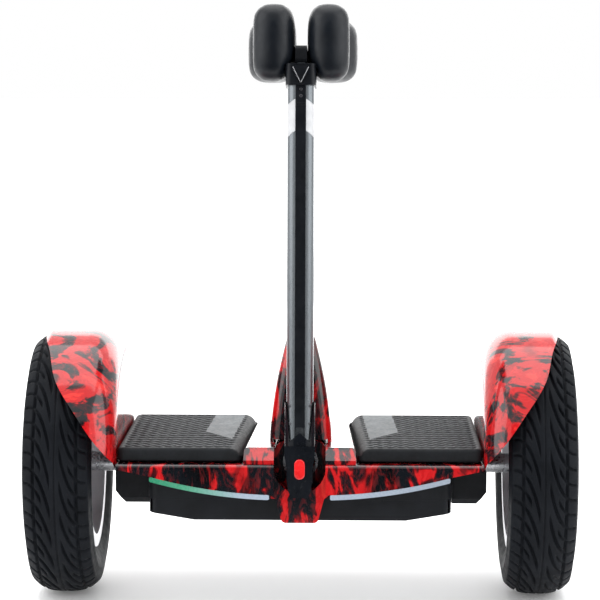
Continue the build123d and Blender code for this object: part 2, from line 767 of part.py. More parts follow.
# ---- Fender ---------------------------------------------------------------------------------
def fender():
    """The right-hand fender: a shell around the axle, cut back towards the deck."""
    r, t = fender_outer_radius, fender_thickness
    inside = deck_half_length + 0.05
    bend = inside + fender_shoulder_radius
    flat_end = fender_outer_edge - fender_lip_run
    lip = (fender_outer_edge, r - fender_lip_drop)
    lip_mid = (fender_outer_edge - 1.9, r - fender_lip_drop * 0.32)
    low = r - fender_shoulder_radius
    c = cos(pi / 4)
    outer_mid = (bend - fender_shoulder_radius * c, low + fender_shoulder_radius * c)
    small = fender_shoulder_radius - t
    inner_mid = (bend - small * c, low + small * c)
    start = journal_radius + 4
    shell = spin([
        Line((inside, start), (inside, low)),
        ThreePointArc((inside, low), outer_mid, (bend, r)),
        Line((bend, r), (flat_end, r)),
        ThreePointArc((flat_end, r), lip_mid, lip),
        Line(lip, (lip[0] - t, lip[1])),
        ThreePointArc((lip[0] - t, lip[1]), (lip_mid[0] - t * 0.8, lip_mid[1] - t * 0.6), (flat_end, r - t)),
        Line((flat_end, r - t), (bend, r - t)),
        ThreePointArc((bend, r - t), inner_mid, (inside + t, low)),
        Line((inside + t, low), (inside + t, start)),
        Line((inside + t, start), (inside, start)),
    ])
    shell = Pos(0, 0, axle_height) * shell
    # Everything below the deck's top goes, apart from two ears that are screwed to the chassis.
    bottom = deck_top - 4.0
    below = block(0, 400, -300, 300, -100, bottom)
    for side in (-1, 1):
        below -= block(0, 400, side * fender_ear_inner, side * fender_ear_outer,
                       deck_top - fender_ear_drop, bottom + 1)
    shell -= below
    # The open edge runs from the lip near the top down to the deck, in front and behind.
    outer, inner = fender_outer_edge, deck_half_length + fender_thickness
    edge = Spline((outer + 3, 270), (outer - 8, 258), (outer - 15, 238), (outer - 35, 207),
                  (outer - 57, 177), (inner, 153.5))
    tail = (outer + 30, 270)
    outline = [
        edge,
        Line(edge @ 1, (182, bottom)),
        Line((182, bottom), (182, 90)),
        Line((182, 90), (tail[0], 90)),
        Line((tail[0], 90), tail),
        Line(tail, edge @ 0),
    ]
    mouth = Pos(0, 300, 0) * extrude(Plane.XZ * make_face(outline), 600)
    keep = block(0, deck_half_length + fender_thickness + 1, -fender_ear_outer, fender_ear_outer,
                 0, deck_top + 20)
    return shell - (mouth - keep)


def fender_screw_places():
    """Centres of the screws that hold the fenders' ears."""
    y = (fender_ear_inner + fender_ear_outer) / 2
    return [(side, dy) for side in (-1, 1) for dy in (-y, y)]


fender_screw_height = 142.5


def fender_screw_cuts():
    """The screw holes through the fender ears and into the chassis, on the right-hand side."""
    y = (fender_ear_inner + fender_ear_outer) / 2
    return [rod_x(2.1, deck_half_length - 14, deck_half_length + 10, y=dy, z=fender_screw_height)
            for dy in (-y, y)]


def fender_screws():
    """The screws of both fenders."""
    screws = []
    outside = deck_half_length + 0.05 + fender_thickness + 0.02
    for side, y in fender_screw_places():
        head = rod_x(3.4, side * outside, side * (outside + 2), y=y, z=fender_screw_height)
        shank = rod_x(2.0, side * (deck_half_length - 12), side * (outside + 1), y=y,
                      z=fender_screw_height)
        screws.append(head + shank)
    return screws


# ---- Foot pads ------------------------------------------------------------------------------
def mat_points(inset):
    """The right-hand mat's outline in plan, narrower in front."""
    y = mat_half_width - inset
    outer = mat_outer - inset
    return [(mat_inner_front + inset, -y), (outer, -y), (outer, y), (mat_inner_rear + inset, y)]


def mat_prism(inset, z0, z1):
    """The mat's outline as a prism with round corners."""
    shape = plan_prism(mat_points(inset), z0, z1)
    outer_middle = (mat_outer + mat_inner_front) / 2

    def upright(test):
        """The upright edges whose place passes a test."""
        return [e for e in shape.edges().filter_by(Axis.Z) if test(e.center())]

    shape = fillet(upright(lambda c: c.X > outer_middle), mat_corner_outer - inset)
    shape = fillet(upright(lambda c: c.X < outer_middle and c.Y < 0), mat_corner_front - inset)
    rear = upright(lambda c: c.X < mat_inner_rear + inset + 1 and c.Y > mat_half_width / 2)
    return fillet(rear, mat_corner_rear - inset)


def foot_mat():
    """The rubber mat, a cap over its plate."""
    shape = mat_prism(0, mat_bottom, mat_top)
    shape = fillet(shape.edges().group_by(Axis.Z)[-1], mat_edge_round)
    return shape - mat_prism(mat_skin, mat_bottom - 1, plate_top)


def foot_plate():
    """The stiff plate under the mat, with the four plungers that press the switches."""
    shape = mat_prism(mat_skin + 0.1, plate_bottom, plate_top - 0.02)
    for dx in (-0.5, 0.5):
        for dy in (-0.5, 0.5):
            shape += rod_z(plunger_radius, mat_bottom - plunger_depth, plate_bottom + 1,
                           x=plunger_x + dx * plunger_spacing_x, y=dy * plunger_spacing_y)
    return shape


def pad_switches():
    """The posts with the foot switches, one under each plunger."""
    top = mat_bottom - plunger_depth - pad_travel - switch_gap
    floor = tray_bottom + tray_floor
    switches = []
    for side in (-1, 1):
        for dx in (-0.5, 0.5):
            for dy in (-0.5, 0.5):
                x = side * plunger_x + dx * plunger_spacing_x
                y = dy * plunger_spacing_y
                post = rod_z(7, floor + 0.02, top - 3, x=x, y=y)
                switches.append(post + rod_z(4.5, top - 4, top, x=x, y=y))
    return switches


# ---- Hump -----------------------------------------------------------------------------------
def hump_solid(inset):
    """The hump, lofted through its sections."""
    faces = []
    last = len(hump_sections) - 1
    for i, (height, half, front, rear) in enumerate(hump_sections):
        length = rear - front - 2 * inset
        centre = (rear + front) / 2
        corner = min(hump_corner, (half - inset) * 0.85, length * 0.42)
        height = height - (inset if i == last else 0)
        faces.append(Pos(0, centre, height) * RectangleRounded(2 * (half - inset), length, corner))
    return loft(faces)


def base_prism(inset, floor):
    """The raised base between the mats, with a sloping front."""
    y0, y1 = -deck_half_width + 4 + inset, mat_half_width - inset
    slope = base_front_slope
    x0 = mat_inner_front - hump_side_gap - inset
    x1 = mat_inner_rear - hump_side_gap - inset
    plan = plan_prism([(-x0, y0), (x0, y0), (x1, y1), (-x1, y1)], floor, base_top - inset)
    side = make_face(Polyline((y0, floor), (y0, deck_top + 4 - inset), (y0 + slope, base_top - inset),
                              (y1, base_top - inset), (y1, floor), close=True))
    wedge = Pos(-80, 0, 0) * extrude(Plane.YZ * side, 160)
    return plan & wedge


def hump_cover():
    """The painted centre cover: a raised base and the hump behind the steering bar."""
    floor = deck_top + 0.05
    base = base_prism(0, floor)
    rear_corners = [e for e in base.edges() if e.center().Y > mat_half_width - 1
                    and abs((e @ 0).Z - (e @ 1).Z) > 5]
    base = fillet(rear_corners, 14)
    rim_edges = [e for e in base.edges().group_by(Axis.Z)[-1]]
    base = fillet(rim_edges, 3.5)
    hump = hump_solid(0)
    hump = fillet(hump.edges().group_by(Axis.Z)[-1], 5)
    shape = base + hump
    shape -= base_prism(hump_wall, floor - 1) + hump_solid(hump_wall)
    lining = block(-nose_half_width, nose_half_width, -deck_half_width + 8, recess_back - 0.2,
                   floor, base_top - 2)
    slope_room = base_prism(0, floor)
    shape += lining & slope_room
    shape -= recess()
    w = housing_half_width + 0.5
    shape -= block(-w, w, recess_back - 0.2, housing_rear + 5, floor - 1, housing_top + 0.5)
    shape -= rod_z(power_radius + 0.1, base_top - 10, base_top + 5, y=power_y)
    return shape


def power_button():
    """The round power button on the raised base behind the hump."""
    z = base_top - hump_wall
    stem = rod_z(power_radius, z, base_top + power_proud, y=power_y)
    flange = rod_z(power_radius + 2, z - 3, z - 0.3, y=power_y)
    neck = rod_z(power_radius, z - 1, z + 1, y=power_y)
    cap = fillet(stem.edges().group_by(Axis.Z)[-1], 0.8)
    return cap + flange + neck


# ---- Steering -------------------------------------------------------------------------------
def steering_housing():
    """The block on the chassis that carries the steering shaft in two bearings."""
    w = housing_half_width
    shape = block(-w, w, housing_front, housing_rear, tray_bottom + tray_floor + 0.02, housing_top)
    top = shape.edges().filter_by(Axis.Y).group_by(Axis.Z)[-1]
    shape = fillet(top, 14)
    shape -= rod_y(spring_bore_radius, housing_front - 1, housing_rear + 1, z=pivot_height)
    for start in steering_bearing_starts():
        end = start + steering_bearing_width
        if start > -50:
            end += 5
        else:
            start -= 5
        shape -= rod_y(steering_bearing_radius + 0.02, start, end, z=pivot_height)
    return shape


def steering_bearing_starts():
    """The front faces of the two steering bearings."""
    return (housing_front + 1, housing_rear - 1 - steering_bearing_width)


def steering_bearings():
    """The two bearings of the steering shaft."""
    parts = []
    for start in steering_bearing_starts():
        for solid in flat(bearing(shaft_radius, steering_bearing_radius, steering_bearing_width, 0)):
            parts.append(Pos(0, start, pivot_height) * Rot(0, 0, 90) * solid)
    return parts


def steering_shaft():
    """The shaft along which the bar tilts, with its collar behind the rear bearing."""
    shaft = rod_y(shaft_radius, shaft_front, housing_rear + shaft_collar_width, z=pivot_height)
    collar = rod_y(shaft_collar_radius, housing_rear - 0.8, housing_rear + shaft_collar_width,
                   z=pivot_height)
    return shaft + collar


def steering_spring():
    """The spring around the shaft that brings the bar back upright."""
    start = steering_bearing_starts()[0] + steering_bearing_width + 2
    end = steering_bearing_starts()[1] - 2
    mean = spring_bore_radius - spring_wire_radius - 0.5
    pitch = (end - start - 2 * spring_wire_radius) / spring_turns
    path = Helix(pitch, pitch * spring_turns, mean)
    section = Plane(origin=path @ 0, z_dir=path % 0) * Circle(spring_wire_radius)
    coil = sweep(section, path=path)
    return Pos(0, end - spring_wire_radius, pivot_height) * Rot(90, 0, 0) * coil


def bar_section(shrink):
    """The bar's rounded section, smaller all round by an amount."""
    return RectangleRounded(bar_width - 2 * shrink, bar_depth - 2 * shrink, bar_corner - shrink)


def bar_solid(shrink, start, end):
    """A solid length of the bar's section along the leaning bar, in place."""
    return bar_frame * Pos(0, 0, start) * extrude(bar_section(shrink), end - start)


def stem_socket():
    """The foot of the bar: a hub on the steering shaft and a tongue inside the bar."""
    w = socket_half_width
    top = pivot_height + 25
    hub = block(-w, w, socket_front, socket_back, pivot_height - 21, top)
    hub = fillet(hub.edges().filter_by(Axis.Y).group_by(Axis.Z)[0], 8)
    tongue = bar_solid(bar_wall + slide_gap, 14, socket_top)
    shape = hub + tongue
    shape -= rod_y(shaft_radius + 0.01, shaft_front - 0.5, socket_back + 5, z=pivot_height)
    # The bar's lower end stands on the hub, so the hub's top leans with it.
    over = bar_frame * block(-60, 60, -60, 60, bar_start, 60) - bar_solid(bar_wall + slide_gap, 0, 90)
    return shape - over


def stem_tube():
    """The lower bar, a hollow extrusion with a groove for its front strip."""
    shape = bar_solid(0, bar_start + 0.05, bar_end) - bar_solid(bar_wall, bar_start - 1, bar_end + 1)
    groove = bar_frame * block(-strip_width / 2, strip_width / 2, -bar_depth / 2 - 1,
                               -bar_depth / 2 + strip_depth, bar_start - 1, bar_end + 1)
    return shape - groove


def stem_strip():
    """The dark strip in the bar's front groove."""
    half = strip_width / 2 - 0.05
    return bar_frame * block(-half, half, -bar_depth / 2 + 0.2, -bar_depth / 2 + strip_depth - 0.02,
                             bar_start + 12, bar_end - 0.2)


def stem_cover():
    """The dark cover on the bar's foot: two cheeks, a spear point and the button's surround."""
    side = bar_width / 2 + cover_skin
    cheek_top, notch_low, spear_top = 213.0, 174.0, 183.0
    outline = [
        (-side - 1, cheek_top), (-side + 1.5, cheek_top - 4), (-10, notch_low), (0, spear_top),
        (10, notch_low), (side - 1.5, cheek_top - 4), (side + 1, cheek_top), (side + 1, 168),
        (12.5, 146), (11.5, 126), (8, cover_tip), (-8, cover_tip), (-11.5, 126), (-12.5, 146),
        (-side - 1, 168),
    ]
    window = front_prism(outline, -150, -60)
    sleeve = bar_frame * Pos(0, 0, 8) * extrude(
        RectangleRounded(bar_width + 2 * cover_skin, bar_depth + 2 * cover_skin,
                         bar_corner + cover_skin), 90)
    sleeve -= block(-60, 60, socket_back - 3, 60, 0, 400)
    plate = block(-side, side, cover_front, socket_front - 0.1, 0, notch_low - 4)
    shape = (sleeve + plate) & window
    shape -= bar_solid(-0.05, bar_start - 1, bar_end) + bar_solid(bar_wall, 10, bar_start)
    inner_room = block(-socket_half_width - 0.1, socket_half_width + 0.1, socket_front - 0.1, 60, 0, 400)
    core = inner_room & block(-60, 60, -200, 200, 0, pivot_height + 29)
    shape -= core
    hole = rod_capsule(button_gap, -140, -80)
    shape -= hole
    return max(shape.solids(), key=lambda s: s.volume)


def rod_capsule(grow, y0, y1):
    """A capsule-shaped prism along Y, centred on the steering axis."""
    face = Plane.XZ * SlotOverall(button_height + 2 * grow, button_width + 2 * grow, rotation=90)
    return Pos(0, y1, pivot_height) * extrude(face, y1 - y0)


def release_button():
    """The red button that frees the bar from its socket."""
    back = socket_front - button_travel - switch_gap
    shape = rod_capsule(0, cover_front - button_proud, back)
    return fillet(shape.edges().group_by(Axis.Y)[0], 1.2)


def inner_post():
    """The sliding upper bar, with its row of height holes in front."""
    gap = bar_wall + slide_gap
    shape = bar_solid(gap, post_start, post_end) - bar_solid(gap + post_wall, post_start - 1,
                                                             bar_end + collar_height - 5)
    top = bar_frame * block(-30, 30, -60, 60, bar_end + collar_height + 0.5, post_end + 1)
    neck = bar_frame * block(-bracket_half_width + 1.5, bracket_half_width - 1.5, -12, 12,
                             bar_end + collar_height + 0.4, post_end)
    shape = shape - top + neck
    for i in range(10):
        hole = rod_y(3, -bar_depth, 0, z=post_start + 40 + i * bar_travel / 10)
        shape -= bar_frame * hole
    return shape


def stem_collar():
    """The clamp collar at the top of the lower bar, with a pocket for the latch."""
    outer = RectangleRounded(collar_width, collar_depth, 6)
    shape = bar_frame * Pos(0, 0, bar_end + 0.05) * extrude(outer, collar_height)
    shape -= bar_solid(bar_wall, bar_end - 1, bar_end + collar_height + 2)
    return shape - bar_frame * Pos(0, 0, 0) * latch_prism(
        0.3, -collar_depth / 2 - 1, -collar_depth / 2 + latch_thickness + latch_travel)


def latch_prism(grow, y0, y1):
    """The latch's downward-pointing triangle, as a prism along the bar's front."""
    top = bar_end + collar_height - 2 + grow
    tip = top - latch_height - 2 * grow
    half = latch_width / 2 + grow
    return front_prism([(-half, top), (half, top), (half, top - 3), (1.5, tip), (-1.5, tip),
                        (-half, top - 3)], y0, y1)


def height_latch():
    """The triangular latch that frees the bar's height, pressed in from the front."""
    front = -collar_depth / 2 - latch_thickness * 0.4
    return bar_frame * latch_prism(0, front, front + latch_thickness + 0.4)


# ---- Knee pads ------------------------------------------------------------------------------
def knee_pad():
    """The right-hand knee pad: two lobes with a waist on the outer side."""
    fx, rx = pad_gap_half + front_lobe_radius, pad_gap_half + rear_lobe_radius
    fy, ry = front_lobe_y, rear_lobe_y
    # The waist is a concave arc that touches both lobes.
    a = waist_radius + front_lobe_radius
    b = waist_radius + rear_lobe_radius
    d = sqrt((rx - fx) ** 2 + (ry - fy) ** 2)
    along = (d * d + a * a - b * b) / (2 * d)
    out = sqrt(a * a - along * along)
    ux, uy = (rx - fx) / d, (ry - fy) / d
    wx, wy = fx + ux * along + uy * out, fy + uy * along - ux * out

    def touch(cx, cy, radius):
        """The point of a lobe that faces the waist's centre."""
        length = sqrt((wx - cx) ** 2 + (wy - cy) ** 2)
        return (cx + (wx - cx) / length * radius, cy + (wy - cy) / length * radius)

    front_touch = touch(fx, fy, front_lobe_radius)
    rear_touch = touch(rx, ry, rear_lobe_radius)
    angle = atan2((fy + ry) / 2 - wy, (fx + rx) / 2 - wx)
    waist_mid = (wx + waist_radius * cos(angle), wy + waist_radius * sin(angle))
    outline = [
        Line((pad_gap_half, ry), (pad_gap_half, fy)),
        ThreePointArc((pad_gap_half, fy), (fx, fy - front_lobe_radius), front_touch),
        ThreePointArc(front_touch, waist_mid, rear_touch),
        ThreePointArc(rear_touch, (rx, ry + rear_lobe_radius), (pad_gap_half, ry)),
    ]
    front_end, rear_end = fy - front_lobe_radius - pad_nose, ry + rear_lobe_radius + pad_nose
    top = pad_start + pad_height
    side_view = make_face(Polyline((front_end, pad_start), (rear_end, pad_start + pad_rear_rise),
                                   (rear_end, top - pad_rear_fall), (front_end, top), close=True))
    side_view = fillet(side_view.vertices(), pad_corner)
    body = Pos(0, 0, pad_start - 1) * extrude(make_face(outline), pad_height + 2)
    body &= extrude(Plane.YZ * side_view, 2 * (pad_gap_half + rear_lobe_radius))
    rims = [e for e in body.edges() if abs((e % 0.5).Z) < 0.98]
    body = fillet(rims, pad_round)
    pocket = block(0, collar_width / 2 + 0.6, -collar_depth / 2 - 2.5, collar_depth / 2 + 0.6, 0,
                   bar_end + collar_height + 0.6)
    return bar_frame * (body - pocket)


def pad_bracket():
    """The bar between the knee pads, on top of the sliding post."""
    start = bar_end + collar_height + 1
    shape = block(-bracket_half_width, bracket_half_width, bracket_front, bracket_rear, start,
                  start + bracket_height)
    shape = fillet(shape.edges().filter_by(Axis.X), 5)
    shape -= block(-bracket_half_width + 1.48, bracket_half_width - 1.48, -12.02, 12.02, start - 1,
                   post_end + 0.02)
    return bar_frame * shape


# ---- Rear fittings --------------------------------------------------------------------------
def charge_port():
    """The charging socket in the rear skirt."""
    y = deck_half_width
    body = rod_y(port_radius, y - port_depth, y + 0.6, x=port_x, z=port_height)
    flange = rod_y(port_radius + 2.2, y - deck_wall - 2.5, y - deck_wall - 0.02, x=port_x, z=port_height)
    hole = rod_y(port_radius - 1.8, y - port_depth + 3, y + 2, x=port_x, z=port_height)
    pins = [rod_y(0.9, y - port_depth + 2, y - 6, x=port_x + 3 * cos(a), z=port_height + 3 * sin(a))
            for a in (radians(90), radians(210), radians(330))]
    return body + flange - hole + pins[0] + pins[1] + pins[2]


def charge_cap():
    """The rubber flap over the charging socket, with its hinge lug."""
    y = deck_half_width + 0.6 + cap_gap
    disc = rod_y(cap_radius, y, y + cap_thickness, x=port_x, z=port_height)
    lug = block(port_x - cap_radius - 3, port_x - cap_radius + 3, y, y + cap_thickness,
                port_height - 4, port_height + 4)
    disc = fillet(disc.edges().group_by(Axis.Y)[-1], 0.8)
    return disc + lug


def main():
    os.makedirs("parts", exist_ok=True)
    wheel_parts = {
        "tyre": tyre(), "rim": rim(), "motor_side_cover": side_cover(),
        "side_cover_screws": Compound(children=flat(cover_screws())),
        "wheel_bearings": Compound(children=wheel_bearings()), "hub_cap": hub_cap(),
        "motor_magnets": Compound(children=flat([magnets()])), "tyre_valve": valve(),
    }
    for name, shape in wheel_parts.items():
        placed = on_wheel(shape)
        save(f"{name}_right", placed)
        save(f"{name}_left", mirrored(placed))
    for name, shape in (("axles", axle()), ("stator_cores", stator_core())):
        placed = on_wheel(shape)
        save(name, placed, mirrored(placed))
    coils = [on_wheel(coil) for coil in windings()]
    save("stator_windings", coils, [mirrored(coil) for coil in coils])

    save("deck_shell", deck_shell())
    chassis = chassis_frame()
    right_fender = fender()
    for cut in fender_screw_cuts():
        right_fender -= cut
        chassis = chassis - cut - mirrored(cut)
    save("chassis_frame", chassis)
    save("axle_clamps", axle_clamps())
    save("clamp_bolts", clamp_bolts())
    save("fender_right", right_fender)
    save("fender_left", mirrored(right_fender))
    save("fender_screws", fender_screws())
    headlight = lamp(-deck_half_width, lamp_depth)
    save("headlight_right", headlight)
    save("headlight_left", mirrored(headlight))
    tail_light = lamp(deck_half_width - lamp_depth, lamp_depth)
    save("tail_lights", tail_light, mirrored(tail_light))
    save("battery_case", battery_case())
    save("battery_lid", battery_lid())
    save("battery_cells", battery_cells())
    save("bms_board", bms_board())
    save("circuit_boards", circuit_boards())
    save("charge_port", charge_port())
    save("charge_cap", charge_cap())

    for name, shape in (("foot_mat", foot_mat()), ("foot_plate", foot_plate())):
        save(f"{name}_right", shape)
        save(f"{name}_left", mirrored(shape))
    save("pad_switches", pad_switches())
    save("hump_cover", hump_cover())
    save("power_button", power_button())

    save("steering_housing", steering_housing())
    save("steering_bearings", steering_bearings())
    save("steering_shaft", steering_shaft())
    save("steering_spring", steering_spring())
    save("stem_socket", stem_socket())
    save("stem_cover", stem_cover())
    save("stem_tube", stem_tube())
    save("stem_strip", stem_strip())
    save("stem_collar", stem_collar())
    save("release_button", release_button())
    save("height_latch", height_latch())
    save("inner_post", inner_post())
    save("pad_bracket", pad_bracket())
    pad = knee_pad()
    save("knee_pad_right", pad)
    save("knee_pad_left", mirrored(pad))


main()
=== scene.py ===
import json
from math import atan2, cos, degrees, pi, radians, sin, sqrt

import bmesh
import bpy
import numpy as np
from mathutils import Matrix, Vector


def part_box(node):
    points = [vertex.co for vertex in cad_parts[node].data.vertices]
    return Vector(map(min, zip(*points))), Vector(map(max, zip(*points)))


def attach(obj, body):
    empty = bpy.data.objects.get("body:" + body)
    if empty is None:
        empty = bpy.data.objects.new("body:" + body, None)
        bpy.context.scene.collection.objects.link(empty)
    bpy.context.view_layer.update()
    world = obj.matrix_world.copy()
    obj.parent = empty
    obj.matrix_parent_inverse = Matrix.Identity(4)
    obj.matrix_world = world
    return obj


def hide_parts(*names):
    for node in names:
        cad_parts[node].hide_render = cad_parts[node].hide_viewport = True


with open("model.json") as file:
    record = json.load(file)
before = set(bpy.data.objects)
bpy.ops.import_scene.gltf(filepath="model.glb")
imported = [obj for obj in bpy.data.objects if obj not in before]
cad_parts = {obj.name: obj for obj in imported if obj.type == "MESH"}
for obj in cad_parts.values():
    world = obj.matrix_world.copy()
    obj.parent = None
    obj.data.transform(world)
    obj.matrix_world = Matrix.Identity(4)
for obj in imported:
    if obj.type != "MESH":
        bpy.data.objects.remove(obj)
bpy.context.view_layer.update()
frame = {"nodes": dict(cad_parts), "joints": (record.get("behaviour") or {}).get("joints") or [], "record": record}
nodes = frame["nodes"]
MM = 0.001
SIDES = (("left", -1), ("right", 1))


# ---- Places and sizes read from the frame -----------------------------------------------------
tyre_low, tyre_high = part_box("tyre_right")
TYRE_RADIUS = (tyre_high.z - tyre_low.z) / 2
TYRE_WIDTH = tyre_high.x - tyre_low.x
AXLE_Z = (tyre_high.z + tyre_low.z) / 2
WHEEL_X = (tyre_high.x + tyre_low.x) / 2
LEAN = atan2(*[j["axis"][1:3] for j in frame["joints"] if j["name"] == "bar_height"][0])
BAR_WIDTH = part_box("stem_tube")[1].x * 2


# ---- Node materials ---------------------------------------------------------------------------
class Shade:
    """A small helper that builds one node material."""

    def __init__(self, name, color=(0.5, 0.5, 0.5), rough=0.5, metal=0.0, coat=0.0, coat_rough=0.03,
                 specular=0.5, sheen=0.0):
        self.mat = bpy.data.materials.new(name)
        self.mat.use_nodes = True
        self.tree = self.mat.node_tree
        self.main = self.tree.nodes["Principled BSDF"]
        self.set("Base Color", (*color, 1))
        self.set("Roughness", rough)
        self.set("Metallic", metal)
        self.set("Coat Weight", coat)
        self.set("Coat Roughness", coat_rough)
        self.set("Specular IOR Level", specular)
        self.set("Sheen Weight", sheen)
        self.place = self.node("ShaderNodeTexCoord").outputs["Object"]

    def set(self, socket, value):
        self.main.inputs[socket].default_value = value

    def node(self, kind, **settings):
        made = self.tree.nodes.new(kind)
        for key, value in settings.items():
            if key in made.inputs:
                made.inputs[key].default_value = value
            else:
                setattr(made, key, value)
        return made

    def link(self, a, b):
        self.tree.links.new(a, b)

    def stretch(self, scale, turn=(0, 0, 0)):
        """Object coordinates, scaled and turned."""
        mapping = self.node("ShaderNodeMapping")
        mapping.inputs["Scale"].default_value = scale
        mapping.inputs["Rotation"].default_value = turn
        self.link(self.place, mapping.inputs["Vector"])
        return mapping.outputs["Vector"]

    def noise(self, scale, detail=4.0, rough=0.5, distortion=0.0, vector=None):
        made = self.node("ShaderNodeTexNoise", Scale=scale, Detail=detail, Roughness=rough,
                         Distortion=distortion)
        self.link(vector or self.place, made.inputs["Vector"])
        return made.outputs["Fac"]

    def ramp(self, source, stops, mode="LINEAR"):
        made = self.node("ShaderNodeValToRGB")
        made.color_ramp.interpolation = mode
        points = made.color_ramp.elements
        while len(points) < len(stops):
            points.new(0.5)
        for point, (place, color) in zip(points, stops):
            point.position = place
            point.color = (*color, 1) if len(color) == 3 else color
        self.link(source, made.inputs["Fac"])
        return made.outputs["Color"]

    def remap(self, source, low, high, to_low, to_high):
        made = self.node("ShaderNodeMapRange")
        for key, value in zip(("From Min", "From Max", "To Min", "To Max"), (low, high, to_low, to_high)):
            made.inputs[key].default_value = value
        self.link(source, made.inputs["Value"])
        return made.outputs["Result"]

    def mix(self, factor, a, b, mode="MIX"):
        made = self.node("ShaderNodeMix", data_type="RGBA", blend_type=mode)
        if isinstance(factor, float):
            made.inputs["Factor"].default_value = factor
        else:
            self.link(factor, made.inputs["Factor"])
        for name, value in (("A", a), ("B", b)):
            socket = [s for s in made.inputs if s.name == name and s.type == "RGBA"][0]
            if isinstance(value, tuple):
                socket.default_value = (*value, 1)
            else:
                self.link(value, socket)
        return [s for s in made.outputs if s.type == "RGBA"][0]

    def color(self, source):
        self.link(source, self.main.inputs["Base Color"])

    def rough(self, source):
        self.link(source, self.main.inputs["Roughness"])

    def bump(self, height, distance, strength=1.0):
        made = self.node("ShaderNodeBump", Strength=strength, Distance=distance)
        self.link(height, made.inputs["Height"])
        last = self.main.inputs["Normal"].links
        if last:
            self.link(last[0].from_socket, made.inputs["Normal"])
        self.link(made.outputs["Normal"], self.main.inputs["Normal"])


def flame_paint(name, heat, turn, scale):
    """Glossy red and black flame pattern under a clear coat; heat is how much of it is red."""
    s = Shade(name, rough=0.3, coat=1.0, coat_rough=0.1, specular=0.1)
    flow = s.stretch(scale, turn)
    licks = s.noise(20.0, 3.5, 0.55, 2.6, flow)
    smoke = s.noise(9.0, 2.0, 0.5, 1.0, flow)
    wisps = s.noise(46.0, 4.0, 0.65, 3.0, flow)
    night = (0.004, 0.0055, 0.008)
    wine = (0.075, 0.0025, 0.004)
    red = (0.46, 0.006, 0.008)
    bright = (0.72, 0.025, 0.018)
    edge = 0.5 - heat
    base = s.ramp(licks, [(edge, night), (edge + 0.05, wine), (edge + 0.09, red), (edge + 0.2, red),
                          (edge + 0.27, bright)])
    dark = s.ramp(smoke, [(0.34, (0.05, 0.05, 0.06)), (0.45, (1, 1, 1)), (1.0, (1, 1, 1))])
    both = s.mix(1.0, base, dark, "MULTIPLY")
    veil = s.ramp(wisps, [(0.5, (0, 0, 0)), (0.66, (0.22, 0.006, 0.006))])
    s.color(s.mix(0.45, both, veil, "ADD"))
    s.rough(s.remap(wisps, 0.3, 0.7, 0.2, 0.34))
    s.bump(s.noise(900.0, 2.0), 0.00004, 0.25)
    return s.mat


def tyre_rubber():
    s = Shade("tyre_rubber", (0.01, 0.011, 0.013), 0.5, specular=0.1)
    worn = s.noise(35.0, 5.0, 0.6)
    s.color(s.ramp(worn, [(0.3, (0.0035, 0.0045, 0.0065)), (0.7, (0.008, 0.0095, 0.0125))]))
    s.rough(s.remap(s.noise(140.0, 4.0), 0.3, 0.7, 0.5, 0.72))
    s.bump(s.noise(1400.0, 2.0), 0.00015, 0.5)
    s.bump(s.noise(160.0, 3.0), 0.0003, 0.25)
    return s.mat


def mat_rubber(name="mat_rubber", tone=(0.022, 0.025, 0.028)):
    s = Shade(name, tone, 0.5, specular=0.2)
    pale = tuple(1.25 * c for c in tone)
    dull = tuple(0.75 * c for c in tone)
    s.color(s.ramp(s.noise(60.0, 4.0, 0.6), [(0.3, dull), (0.7, pale)]))
    s.rough(s.remap(s.noise(300.0, 4.0), 0.3, 0.7, 0.5, 0.7))
    s.bump(s.noise(2200.0, 2.0), 0.00012, 0.6)
    return s.mat


def pad_skin():
    s = Shade("pad_skin", (0.006, 0.008, 0.011), 0.34, specular=0.28)
    s.color(s.ramp(s.noise(40.0, 4.0), [(0.3, (0.003, 0.0045, 0.0075)), (0.7, (0.006, 0.0085, 0.0125))]))
    s.rough(s.remap(s.noise(180.0, 5.0), 0.3, 0.7, 0.32, 0.46))
    s.bump(s.noise(1500.0, 3.0), 0.00012, 0.5)
    return s.mat


def black_plastic(name="black_plastic", rough=0.5, grain=1600.0, depth=0.0001):
    s = Shade(name, (0.008, 0.008, 0.01), rough, specular=0.22)
    s.color(s.ramp(s.noise(50.0, 3.0), [(0.3, (0.004, 0.005, 0.007)), (0.7, (0.007, 0.0085, 0.0115))]))
    s.rough(s.remap(s.noise(220.0, 4.0), 0.3, 0.7, rough - 0.08, rough + 0.1))
    s.bump(s.noise(grain, 2.0), depth, 0.5)
    return s.mat


def bar_metal():
    """Dark anodised extrusion with fine lengthwise drawing lines."""
    s = Shade("bar_metal", (0.15, 0.165, 0.18), 0.3, metal=0.9, coat=0.3, coat_rough=0.12)
    lines = s.noise(1.0, 2.0, 0.5, 0.0, s.stretch((1100.0, 1100.0, 6.0)))
    s.color(s.ramp(lines, [(0.3, (0.13, 0.145, 0.158)), (0.7, (0.17, 0.186, 0.2))]))
    s.rough(s.remap(lines, 0.3, 0.7, 0.25, 0.34))
    return s.mat


def label_film_painted_shade():
    """White film, coloured light grey as painted shade so that it stands off the white backdrop, with a very faint
    grain.
    """
    s = Shade("label_film_painted_shade", (0.62, 0.63, 0.64), 0.42, coat=0.3, coat_rough=0.2)
    s.color(s.ramp(s.noise(120.0, 3.0), [(0.3, (0.47, 0.48, 0.495)), (0.7, (0.56, 0.57, 0.585))]))
    s.bump(s.noise(800.0, 2.0), 0.00005, 0.3)
    return s.mat


